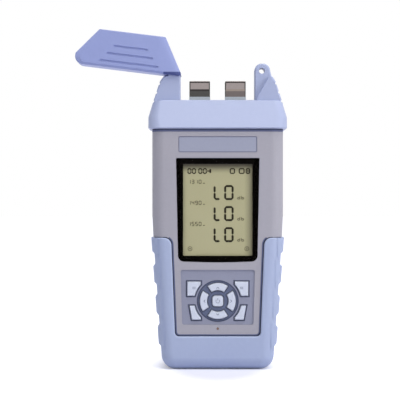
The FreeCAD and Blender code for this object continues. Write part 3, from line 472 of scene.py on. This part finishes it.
# A ringed dash in each lower corner, lying at the left and upright at the right.
MARK_HEIGHT = glass_foot + 7.5
MARK_LEFT = -17.9
MARK_RIGHT = 18.8
DASH_ARM = 0.8
corner_marks = bmesh.new()
for x in (MARK_LEFT, MARK_RIGHT):
    for stroke in arc(x, MARK_HEIGHT, radius=1.4, start=0, count=8, width=SMALL_STROKE):
        bar(corner_marks, *stroke)
bar(corner_marks, MARK_LEFT - DASH_ARM, MARK_HEIGHT, MARK_LEFT + DASH_ARM, MARK_HEIGHT, DASH_STROKE)
bar(corner_marks, MARK_RIGHT, MARK_HEIGHT - DASH_ARM, MARK_RIGHT, MARK_HEIGHT + DASH_ARM, DASH_STROKE)
new_piece("lcd_corner_marks", corner_marks, segment_faint)

# Moulded nylon: soot black with a dry sheen.
black_nylon = moulded("nylon_black_frame", "#17171a", "#0f0f12", roughness=0.5, grain_mm=0.9, depth_mm=0.03)
finish(black_nylon, "lcd_frame")


# ---- display window and its border ----
# Cast acrylic sheet with a hard coat that takes most of its shine, printed round the back with
# a black border, and bonded into the face of the case over the display.
def clear_acrylic():
    """Nearly invisible sheet: what shows of it is a weak polished reflection and a trace of tint."""
    material, tree = new_material("acrylic_hard_coated_clear")
    smears = grain(tree, 9.0, 3.0)
    wiped = add(tree, "ShaderNodeMapRange", {"To Min": 0.03, "To Max": 0.10},
                {"Value": smears.outputs["Fac"]})
    sheet = add(tree, "ShaderNodeBsdfPrincipled",
                {"Base Color": srgb("#23221c"), "IOR": 1.49, "Specular IOR Level": 0.06, "Alpha": 0.02},
                {"Roughness": wiped.outputs[0]})
    add(tree, "ShaderNodeOutputMaterial", None, {"Surface": sheet.outputs[0]})
    return material


finish(clear_acrylic(), "display_window")
# Screen ink seen through the sheet: the deepest black on the meter, without a sheen of its own.
finish(moulded("screen_ink_black", "#060403", "#080605",
               roughness=0.45, grain_mm=0.8, depth_mm=0.01, level=0.02),
       "display_mask")


# ---- label ----
# Blank polyester inlay in a shallow recess above the display, printed in pale blue grey with a
# fine darker border.
FILM_THICKNESS = 0.05 * MM
BORDER_WIDTH = 0.5 * MM
ALONG_AXIS = 0.999              # a face whose normal has this much along an axis looks along it
PLACE_SLACK = 0.03 * MM


def faces_along(axis, way, place):
    """Test for flat faces that look one way along an axis at a given place on it."""
    def keep(face):
        there = abs(face.calc_center_median()[axis] - place) < PLACE_SLACK
        return face.normal[axis] * way > ALONG_AXIS and there
    return keep


def kept_faces(name, keep):
    """A node's merged mesh with only the faces that pass a test."""
    shape = merged(name)
    others = [face for face in shape.faces if not keep(face)]
    bmesh.ops.delete(shape, geom=others, context="FACES")
    return shape


def edge_lines(name, new_name, keep, width, lift, ink, chosen=None):
    """Narrow line along the edges of a flat front face and of the openings in it."""
    shape = kept_faces(name, keep)
    lines = bmesh.ops.inset_region(shape, faces=shape.faces[:], thickness=width, use_boundary=True,
                                   use_even_offset=True)["faces"]
    wanted = {face for face in lines if chosen is None or chosen(face.calc_center_median())}
    others = [face for face in shape.faces if face not in wanted]
    bmesh.ops.delete(shape, geom=others, context="FACES")
    bmesh.ops.translate(shape, verts=shape.verts, vec=(0, -lift, 0))
    new_piece(new_name, shape, ink)


# Printed polyester: an even pale blue grey with a light sheen, and drier ink on it.
label_film = moulded("polyester_film_pale_blue", "#a3a7ba", "#9a9eb2",
                     roughness=0.45, grain_mm=0.9, depth_mm=0.01)
border_ink = moulded("screen_ink_grey", "#82849a", "#7a7c92",
                     roughness=0.5, grain_mm=0.8, depth_mm=0.01, level=0.3)
finish(label_film, "label_inlay")
label_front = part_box("label_inlay")[0].y
edge_lines("label_inlay", "label_border", faces_along(1, -1, label_front), BORDER_WIDTH, FILM_THICKNESS,
           border_ink)


# ---- keypad ----
# Printed overlay film in the recess with a line of painted shade round each key, a slate disc
# round the cluster, and nine hard keycaps on a silicone mat. A small lamp looks out below them.
KEY_LINE = 0.6 * MM
DISC_LINE = 0.3 * MM
RECESS_ABOVE_MAT = 2.0 * MM     # the recess is this much taller than the mat behind it
CLEAR_OF_SIDES = 2.0 * MM
PRINT_LIFT = 0.03 * MM
disc_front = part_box("keypad_surround")[0].y
recess_low, recess_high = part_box("keypad_mat")
recess_high.z += RECESS_ABOVE_MAT


def in_recess(face):
    """Test for the floor of the keypad's recess, which the disc's front is flush with."""
    middle = face.calc_center_median()
    below_display = middle.z < glass_low.z
    return face.normal.y < -ALONG_AXIS and abs(middle.y - disc_front) < PLACE_SLACK and below_display


def beside_key(middle):
    """Test for places round the keys, away from the recess's own edges."""
    inside_x = abs(middle.x) < recess_high.x - CLEAR_OF_SIDES
    inside_z = recess_low.z + KEY_LINE < middle.z < recess_high.z - KEY_LINE
    return inside_x and inside_z


# Back-printed films: lilac grey with a faint sheen and a bluer slate for the disc; a dark slate for
# the painted shade in the gaps round the keys.
overlay_film = moulded("polyester_film_lilac_grey", "#9598ac", "#8c8fa4",
                       roughness=0.5, grain_mm=0.8, depth_mm=0.02)
key_gap_shade = moulded("screen_ink_slate", "#4a5068", "#424860",
                   roughness=0.5, grain_mm=0.8, depth_mm=0.01, level=0.3)
disc_film = moulded("polyester_film_slate_blue", "#5d6682", "#545d79",
                    roughness=0.5, grain_mm=0.8, depth_mm=0.02)
film = kept_faces("front_shell", in_recess)
bmesh.ops.translate(film, verts=film.verts, vec=(0, -FILM_THICKNESS, 0))
new_piece("keypad_film", film, overlay_film)
# Painted shade: dark lines in the gaps round the keys, on the film and on the disc.
edge_lines("front_shell", "keypad_gap_shade", in_recess, KEY_LINE, 2 * FILM_THICKNESS, key_gap_shade, beside_key)
finish(disc_film, "keypad_surround")
edge_lines("keypad_surround", "disc_gap_shade", faces_along(1, -1, disc_front), DISC_LINE, FILM_THICKNESS,
           key_gap_shade)

# Hard polished-mould ABS: pale blue, the smoothest skin on the front, with a soft highlight.
keycap_abs = moulded("abs_pale_blue_keycap", "#dbe1ee", "#ccd3e4",
                     roughness=0.36, grain_mm=1.0, depth_mm=0.02, level=0.4)
key_nodes = [name for name in node if name.startswith("key_") and name != "key_domes"]
for name in key_nodes:
    softened(name, keycap_abs, edge_mm=0.12, body=name + "_cap")
# Silicone: milky grey and dull.
finish(moulded("silicone_grey_translucent", "#b9bcc4", "#aeb1ba",
               roughness=0.5, grain_mm=1.0, depth_mm=0.02),
       "keypad_mat")
# Tinted clear lens, unlit: a brown dot with a bright glint.
finish(moulded("polycarbonate_tinted_lens", "#8a6e62", "#7c6258",
               roughness=0.2, grain_mm=0.5, depth_mm=0.02),
       "status_led")
# Spring steel and nickel strip as rolled: pale, with fine lines across.
nickel_strip = metal("nickel_strip_rolled", "#c4c0b8", "#b2aea6",
                     roughness=0.28, mark_mm=0.5, stretch=(0.1, 1.0, 1.0))
finish(nickel_strip, "key_domes")

# Pad print: thin flat grey, only just darker than the caps.
pictogram_ink = moulded("pad_print_grey", "#8f98ac", "#868fa3",
                        roughness=0.5, grain_mm=0.8, depth_mm=0.005, level=0.3)


def printed(key, strokes):
    """Pictogram on a keycap, drawn as strokes (x0, z0, x1, z1, width) in millimetres about its middle."""
    low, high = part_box(key)
    middle = (low + high) / 2 / MM
    art = bmesh.new()
    for x0, z0, x1, z1, width in strokes:
        bar(art, middle.x + x0, middle.z + z0, middle.x + x1, middle.z + z1, width)
    for vert in art.verts:
        vert.co.y = low.y - PRINT_LIFT
    new_piece(key + "_print", art, pictogram_ink, key + "_cap")


def turned(stroke, angle):
    """A stroke turned about the middle of its key."""
    x0, z0, x1, z1, width = stroke
    c, s = math.cos(angle), math.sin(angle)
    return x0 * c - z0 * s, x0 * s + z0 * c, x1 * c - z1 * s, x1 * s + z1 * c, width


arrow_up = [(-0.9, -0.5, 0, 0.6, 0.45), (0.9, -0.5, 0, 0.6, 0.45)]
for turn, key in enumerate(("key_up", "key_right", "key_down", "key_left")):
    printed(key, [turned(stroke, -math.radians(90 * turn)) for stroke in arrow_up])
open_ring = arc(0, 0, radius=1.3, start=-225, count=6, width=0.4)
printed("key_centre", open_ring + [(0, 0.4, 0, 1.9, 0.4)])
for key in ("key_top_left", "key_top_right"):
    printed(key, [(-1.2, 1.0, 1.2, 1.0, 0.4), (-1.2, 0.0, 1.2, 0.0, 0.4)])


# ---- optical ports ----
# Two square adapters machined in brass and nickel plated, held in a nylon plate by spring clips,
# each with a ceramic sleeve. Thin bands round each carry painted reflection and painted shade:
# a bright foot, a dark or grey lower half, a lip, dark corner posts and a dark rim line.
GUARD_DECK = 174.2 * MM         # the guard's flat top, which the ports stand up from
FLANGE_OVERHANG = 0.35 * MM
FOOT_THICKNESS = 0.4 * MM
BAND_THICKNESS = 0.25 * MM
RIM_THICKNESS = 0.12 * MM
FOOT_TOP = GUARD_DECK + 2.5 * MM
LOWER_BAND_TOP = GUARD_DECK + 6.2 * MM
LIP_TOP = GUARD_DECK + 7.4 * MM
RIM_HEIGHT = 0.9 * MM
RIM_DROP = 0.3 * MM
CORNER_WIDTH = 0.28 * MM

# Satin nickel over milled brass: warm grey, drawn out a little along the height.
nickel = metal("brass_nickel_plated_satin", "#a59b99", "#918785",
               roughness=0.3, mark_mm=0.8, stretch=(1.0, 1.0, 6.0))
# Painted reflection on bands round the same parts: bluish and bright at the foot, beige at the right lip.
foot_reflection_bright = metal("painted_reflection_bright", "#acb4bc", "#9ca4ae", roughness=0.2, mark_mm=0.8)
lip_reflection_warm = metal("painted_reflection_warm", "#9c9087", "#8c8078", roughness=0.3, mark_mm=0.8)
# Painted reflection over the lower halves, dark at the left port and grey at the right, the dark one
# also painted shade down the corners; near-black painted shade for the rims and the left lip.
reflection_and_shade_dark = metal("painted_reflection_and_shade_dark", "#545351", "#474643",
                    roughness=0.38, mark_mm=0.7, stretch=(1.0, 1.0, 5.0))
lower_reflection_grey = metal("painted_reflection_grey", "#766e6b", "#675f5d",
                    roughness=0.38, mark_mm=0.7, stretch=(1.0, 1.0, 5.0))
shade_and_reflection_black = metal("painted_shade_and_reflection_black", "#413e3d", "#343130", roughness=0.45, mark_mm=0.7)
# Ground zirconia: creamy white, smooth as glazed china.
zirconia = moulded("zirconia_ground_white", "#f0eee6", "#e6e3da",
                   roughness=0.25, grain_mm=0.6, depth_mm=0.02)
# Zinc plate: bright neutral grey with a faint bloom.
zinc_steel = metal("zinc_plated_steel", "#b9bcc0", "#a6a9ad", roughness=0.32, mark_mm=0.6)


def port_band(name, low, high, foot, head, thickness, material):
    """Band wrapped round a port's block from one height to another, to carry painted reflection or shade."""
    shape = bmesh.new()
    rings = []
    for grow in (thickness, 0.0):
        for z in (foot, head):
            corners = [(low.x - grow, low.y - grow), (high.x + grow, low.y - grow),
                       (high.x + grow, high.y + grow), (low.x - grow, high.y + grow)]
            rings.append([shape.verts.new((x, y, z)) for x, y in corners])
    outer_low, outer_high, inner_low, inner_high = rings
    for i in range(4):
        j = (i + 1) % 4
        shape.faces.new((outer_low[i], outer_low[j], outer_high[j], outer_high[i]))
        shape.faces.new((outer_high[i], outer_high[j], inner_high[j], inner_high[i]))
        shape.faces.new((inner_low[j], inner_low[i], inner_high[i], inner_high[j]))
        shape.faces.new((outer_low[j], outer_low[i], inner_low[i], inner_low[j]))
    bmesh.ops.recalc_face_normals(shape, faces=shape.faces)
    new_piece(name, shape, material)


def port_corners(name, low, high, foot, head, material):
    """Four thin posts of painted shade down the corners of a port's block."""
    shape = bmesh.new()
    size = Vector((2 * CORNER_WIDTH, 2 * CORNER_WIDTH, head - foot))
    for x in (low.x, high.x):
        for y in (low.y, high.y):
            post = bmesh.ops.create_cube(shape, size=1.0)["verts"]
            bmesh.ops.scale(shape, verts=post, vec=size)
            bmesh.ops.translate(shape, verts=post, vec=(x, y, (foot + head) / 2))
    new_piece(name, shape, material)


for side, lower_reflection, lip_reflection in (("left", reflection_and_shade_dark, shade_and_reflection_black), ("right", lower_reflection_grey, lip_reflection_warm)):
    adapter = side + "_adapter"
    softened(adapter, nickel, edge_mm=0.12)
    low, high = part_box(adapter)
    inset = Vector((FLANGE_OVERHANG, FLANGE_OVERHANG, 0))
    low, high = low + inset, high - inset
    rim_top = high.z - RIM_DROP
    port = side + "_port_"
    port_band(port + "foot", low, high, GUARD_DECK, FOOT_TOP, FOOT_THICKNESS, foot_reflection_bright)
    port_band(port + "lower_reflection", low, high, FOOT_TOP, LOWER_BAND_TOP, BAND_THICKNESS, lower_reflection)
    port_band(port + "lip", low, high, LOWER_BAND_TOP, LIP_TOP, BAND_THICKNESS, lip_reflection)
    port_corners(port + "corners", low, high, FOOT_TOP, rim_top, reflection_and_shade_dark)
    port_band(port + "rim", low, high, rim_top - RIM_HEIGHT, rim_top, RIM_THICKNESS, shade_and_reflection_black)
    finish(zirconia, side + "_ferrule_sleeve")
    finish(zinc_steel, side + "_adapter_clip")
finish(black_nylon, "connector_plate")


# ---- screws ----
# Cross-recess pan screws, zinc plated: four that hold the shells from behind, two through the
# board and one in the battery door. Each is the same turned head with its recess cut in.
RECESS_LENGTH = 1.15            # of the head's radius
RECESS_WIDTH = 0.26


def screw_tree():
    """Geometry Nodes tree that sets a cross-recess screw on each point, heads towards +Y."""
    tree = bpy.data.node_groups.new("cross_recess_screw", "GeometryNodeTree")
    tree.interface.new_socket("Geometry", in_out="INPUT", socket_type="NodeSocketGeometry")
    inputs = {}
    for label in ("Head Radius", "Head Height", "Shank Radius", "Shank Length"):
        socket = tree.interface.new_socket(label, in_out="INPUT", socket_type="NodeSocketFloat")
        inputs[label] = socket.identifier
    tree.interface.new_socket("Geometry", in_out="OUTPUT", socket_type="NodeSocketGeometry")
    given = add(tree, "NodeGroupInput")

    def share(label, factor):
        part = add(tree, "ShaderNodeMath", {"operation": "MULTIPLY", 1: factor}, {0: given.outputs[label]})
        return part.outputs[0]

    def raised(solid, height):
        place = add(tree, "ShaderNodeCombineXYZ", None, {"Z": height})
        there = add(tree, "GeometryNodeTransform", None,
                    {"Geometry": solid.outputs["Mesh"], "Translation": place.outputs[0]})
        return there.outputs[0]

    head = add(tree, "GeometryNodeMeshCylinder", {"Vertices": 40},
               {"Radius": given.outputs["Head Radius"], "Depth": given.outputs["Head Height"]})
    cut = add(tree, "GeometryNodeMeshBoolean", {"operation": "DIFFERENCE"},
              {0: raised(head, share("Head Height", 0.5))})
    for long, wide in ((RECESS_LENGTH, RECESS_WIDTH), (RECESS_WIDTH, RECESS_LENGTH)):
        size = add(tree, "ShaderNodeCombineXYZ", None,
                   {"X": share("Head Radius", long), "Y": share("Head Radius", wide),
                    "Z": given.outputs["Head Height"]})
        blade = add(tree, "GeometryNodeMeshCube", None, {"Size": size.outputs[0]})
        tree.links.new(raised(blade, given.outputs["Head Height"]), cut.inputs[1])
    shank = add(tree, "GeometryNodeMeshCylinder", {"Vertices": 24},
                {"Radius": given.outputs["Shank Radius"], "Depth": given.outputs["Shank Length"]})
    whole = add(tree, "GeometryNodeJoinGeometry")
    tree.links.new(cut.outputs[0], whole.inputs[0])
    tree.links.new(raised(shank, share("Shank Length", -0.5)), whole.inputs[0])
    points = add(tree, "GeometryNodeMeshToPoints", None, {"Mesh": given.outputs["Geometry"]})
    placed = add(tree, "GeometryNodeInstanceOnPoints", {"Rotation": (math.radians(-90), 0, 0)},
                 {"Points": points.outputs[0], "Instance": whole.outputs[0]})
    solid = add(tree, "GeometryNodeRealizeInstances", None, {0: placed.outputs[0]})
    coated = add(tree, "GeometryNodeSetMaterial", {"Material": zinc_steel}, {0: solid.outputs[0]})
    add(tree, "NodeGroupOutput", None, {0: coated.outputs[0]})
    return tree, inputs


def islands(name):
    """Lowest and highest corners of each loose solid in a node, in order from the left and the foot."""
    shape = merged(name)
    left = set(shape.verts)
    boxes = []
    while left:
        stack, found = [left.pop()], []
        while stack:
            vert = stack.pop()
            found.append(vert.co.copy())
            for edge in vert.link_edges:
                other = edge.other_vert(vert)
                if other in left:
                    left.remove(other)
                    stack.append(other)
        boxes.append((Vector(min(spot[i] for spot in found) for i in range(3)),
                      Vector(max(spot[i] for spot in found) for i in range(3))))
    shape.free()
    return sorted(boxes, key=lambda corners: tuple(corners[0]))


cross_recess, screw_inputs = screw_tree()


def driven_screws(name, head_height, shank_radius):
    """Screws with recesses in place of a node's plain ones."""
    finish(zinc_steel, name)
    boxes = islands(name)
    low, high = boxes[0]
    seats = bpy.data.meshes.new(name + "_seats")
    seats.from_pydata([((a.x + b.x) / 2, b.y - head_height, (a.z + b.z) / 2) for a, b in boxes], [], [])
    piece = bpy.data.objects.new(name + "_crosshead", seats)
    bpy.context.scene.collection.objects.link(piece)
    screws = piece.modifiers.new("screws", "NODES")
    screws.node_group = cross_recess
    screws[screw_inputs["Head Radius"]] = (high.x - low.x) / 2
    screws[screw_inputs["Head Height"]] = head_height
    screws[screw_inputs["Shank Radius"]] = shank_radius
    screws[screw_inputs["Shank Length"]] = high.y - low.y - head_height
    plain_mesh(piece)
    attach(piece, "housing")
    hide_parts(name)


driven_screws("case_screws", head_height=1.8 * MM, shank_radius=1.25 * MM)
driven_screws("board_screws", head_height=1.2 * MM, shank_radius=0.9 * MM)
driven_screws("door_screw", head_height=1.1 * MM, shank_radius=1.25 * MM)


# ---- painted shade under the guard and round the boot ----
# Dark sheets of painted shade on the faces of the case that the guard and the boot sit on. They
# fill the gap below the guard, lap down over the case below it, and lie as a dark line round the
# edge of the boot's opening.
SHADE_SHEET_THICKNESS = 0.06 * MM
GAP_BELOW_GUARD = 0.6 * MM
GAP_FILL = 0.5 * MM
SEAL_LIP = 1.3 * MM             # how far the filling laps down over the case
EDGE_SHADE_WIDTH = 0.8 * MM
CORE_FRONT = -18.5 * MM         # the stepped-in face of the case that the boot covers
BESIDE_WINDOW = 26.6 * MM
BELOW_KEYS = 24.0 * MM
UPRIGHT = 0.3                   # an upright face has less than this of its normal along Z
case_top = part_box("top_guard")[0].z - GAP_BELOW_GUARD
case_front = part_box("front_shell")[0].y
boot_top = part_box("lower_boot")[1].z


def shade_sheet(name, new_name, keep, shift, raised=False):
    """Thin dark sheet of painted shade on the faces of a shell that pass a test, moved off them by shift or
    raised by it.
    """
    shape = kept_faces(name, keep)
    verts = shape.verts[:]
    if raised:
        walls = bmesh.ops.extrude_face_region(shape, geom=shape.faces[:])["geom"]
        verts = [item for item in walls if isinstance(item, bmesh.types.BMVert)]
    bmesh.ops.translate(shape, verts=verts, vec=shift)
    if raised:
        bmesh.ops.recalc_face_normals(shape, faces=shape.faces)
    new_piece(new_name, shape, gap_shade_black)


def clipped_skin(name, new_name, planes, keep, material, body="housing"):
    """Strip of painted shade over part of a node's skin, cut off behind each plane and lifted off it by the
    sheet's thickness.
    """
    shape = merged(name)
    for point, normal in planes:
        everything = shape.verts[:] + shape.edges[:] + shape.faces[:]
        bmesh.ops.bisect_plane(shape, geom=everything, plane_co=point, plane_no=normal, clear_inner=True)
    others = [face for face in shape.faces if not keep(face)]
    bmesh.ops.delete(shape, geom=others, context="FACES")
    shape.normal_update()
    moves = [vert.normal * SHADE_SHEET_THICKNESS for vert in shape.verts]
    for vert, move in zip(shape.verts, moves):
        vert.co += move
    new_piece(new_name, shape, material, body)


def faces_outward(face):
    """Test for upright faces of the skin that look away from the middle of the case."""
    middle = face.calc_center_median()
    return abs(face.normal.z) < UPRIGHT and middle.x * face.normal.x + middle.y * face.normal.y > 0


def beside_boot(middle):
    """Test for places on the case's front face that lie along the edge of the boot's opening."""
    return middle.z < boot_top and (abs(middle.x) > BESIDE_WINDOW or middle.z < BELOW_KEYS)


# Painted shade in two depths, blue-black and slate, dull as rubber, so each joint reads as a dark line.
gap_shade_black = moulded("painted_gap_shade_black", "#34374a", "#2b2e3f",
                          roughness=0.7, grain_mm=1.0, depth_mm=0.05, level=0.3)
gap_shade_slate = moulded("painted_gap_shade_slate", "#636a8a", "#5a6180",
                          roughness=0.65, grain_mm=1.0, depth_mm=0.05, level=0.3)
shade_sheet("front_shell", "front_gap_shade", faces_along(1, -1, CORE_FRONT), (0, -SHADE_SHEET_THICKNESS, 0))
shade_sheet("rear_shell", "rear_gap_shade", faces_along(1, 1, -CORE_FRONT), (0, SHADE_SHEET_THICKNESS, 0))
below_guard = [((0, 0, case_top - SEAL_LIP), (0, 0, 1))]
for half in ("front", "rear"):
    shade_sheet(half + "_shell", half + "_reveal_shade", faces_along(2, 1, case_top), (0, 0, GAP_FILL),
            raised=True)
    clipped_skin(half + "_shell", half + "_shade_lip", below_guard, faces_outward, gap_shade_slate)
edge_lines("front_shell", "boot_edge_shade", faces_along(1, -1, case_front), EDGE_SHADE_WIDTH, SHADE_SHEET_THICKNESS,
           gap_shade_slate, beside_boot)


# ---- guard and ears ----
# One hood moulded in lavender polycarbonate blend and pressed over the top end of the case, with a
# sloping band all round, a hinge ear at the left and a strap ear with its gusset at the right.

# Satin blend: pale lavender with a broad soft highlight, slightly glossier than the case.
guard_blend = moulded("polycarbonate_blend_lavender_satin", "#b1bad8", "#a7b1d2",
                      roughness=0.42, grain_mm=1.1, depth_mm=0.04)
softened("top_guard", guard_blend, edge_mm=0.3)


# ---- grip boot ----
# Soft elastomer boot stretched over the lower end of the case, with four finger ribs at each
# side. Its edges are rounder than those of the hard mouldings.

# Thermoplastic elastomer: dull and slightly cloudy lavender, without a highlight.
boot_rubber = moulded("elastomer_lavender_matt", "#b3bfdb", "#a5b1d2",
                      roughness=0.58, grain_mm=1.3, depth_mm=0.07)
softened("lower_boot", boot_rubber, edge_mm=0.6)


# ---- cells and battery door ----
# Three sleeved cells between nickel strip contacts, behind a lift-off door in the shells' ABS
# that hooks in at its foot, with grip ribs below its screw.

# Shrink sleeve: graphite grey with a plastic shine.
finish(moulded("shrink_sleeve_graphite", "#3c4046", "#33373d", roughness=0.35, grain_mm=1.0, depth_mm=0.02),
       "cell_1", "cell_2", "cell_3")
finish(nickel_strip, "cell_contacts")
softened("battery_door", case_abs, edge_mm=0.15)


# ---- flip cover and its pin ----
# Channel-shaped dust cover moulded in a darker lavender than the guard, with three grip
# grooves. It turns on a ground pin through the left ear, and painted shade lines its hinge end.
HINGE_SHADE_REACH = 6.4 * MM          # from the pin's middle to the strips' far end
HINGE_SHADE_DROP = 2.7 * MM           # from the pin's middle down to the strips' upper end
SIDEWALL = 0.2                  # a side wall has more than this of its normal along Y


def facing(way):
    """Test for faces of the side walls that look to the front (-1) or to the rear (1)."""
    def keep(face):
        return face.normal.y * way > SIDEWALL
    return keep


# A deeper lavender than the guard's blend, the same satin.
cover_blend = moulded("polycarbonate_blend_lavender_cover", "#9da8d8", "#939ed1",
                      roughness=0.45, grain_mm=1.1, depth_mm=0.04)
# Painted shade along the hinge end of the cover: slate blue and dull.
hinge_shade_blue = moulded("painted_hinge_shade_blue", "#535d93", "#4a5489",
                         roughness=0.6, grain_mm=1.0, depth_mm=0.05, level=0.3)
# Centreless-ground steel: bright, with faint rings round it.
ground_steel = metal("steel_ground_bright", "#c3c6ca", "#adb0b5",
                     roughness=0.25, mark_mm=0.5, stretch=(1.0, 0.1, 1.0))
softened("flip_cover", cover_blend, edge_mm=0.25, body="cover")
pin_low, pin_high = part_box("hinge_pin")
pin_middle = (pin_low + pin_high) / 2
hinge_end = [((pin_middle.x - HINGE_SHADE_REACH, 0, 0), (1, 0, 0)), ((0, 0, pin_middle.z - HINGE_SHADE_DROP), (0, 0, -1))]
for half, way in (("front", -1), ("rear", 1)):
    clipped_skin("flip_cover", "cover_hinge_shade_" + half, hinge_end, facing(way), hinge_shade_blue, "cover")
finish(ground_steel, "hinge_pin")
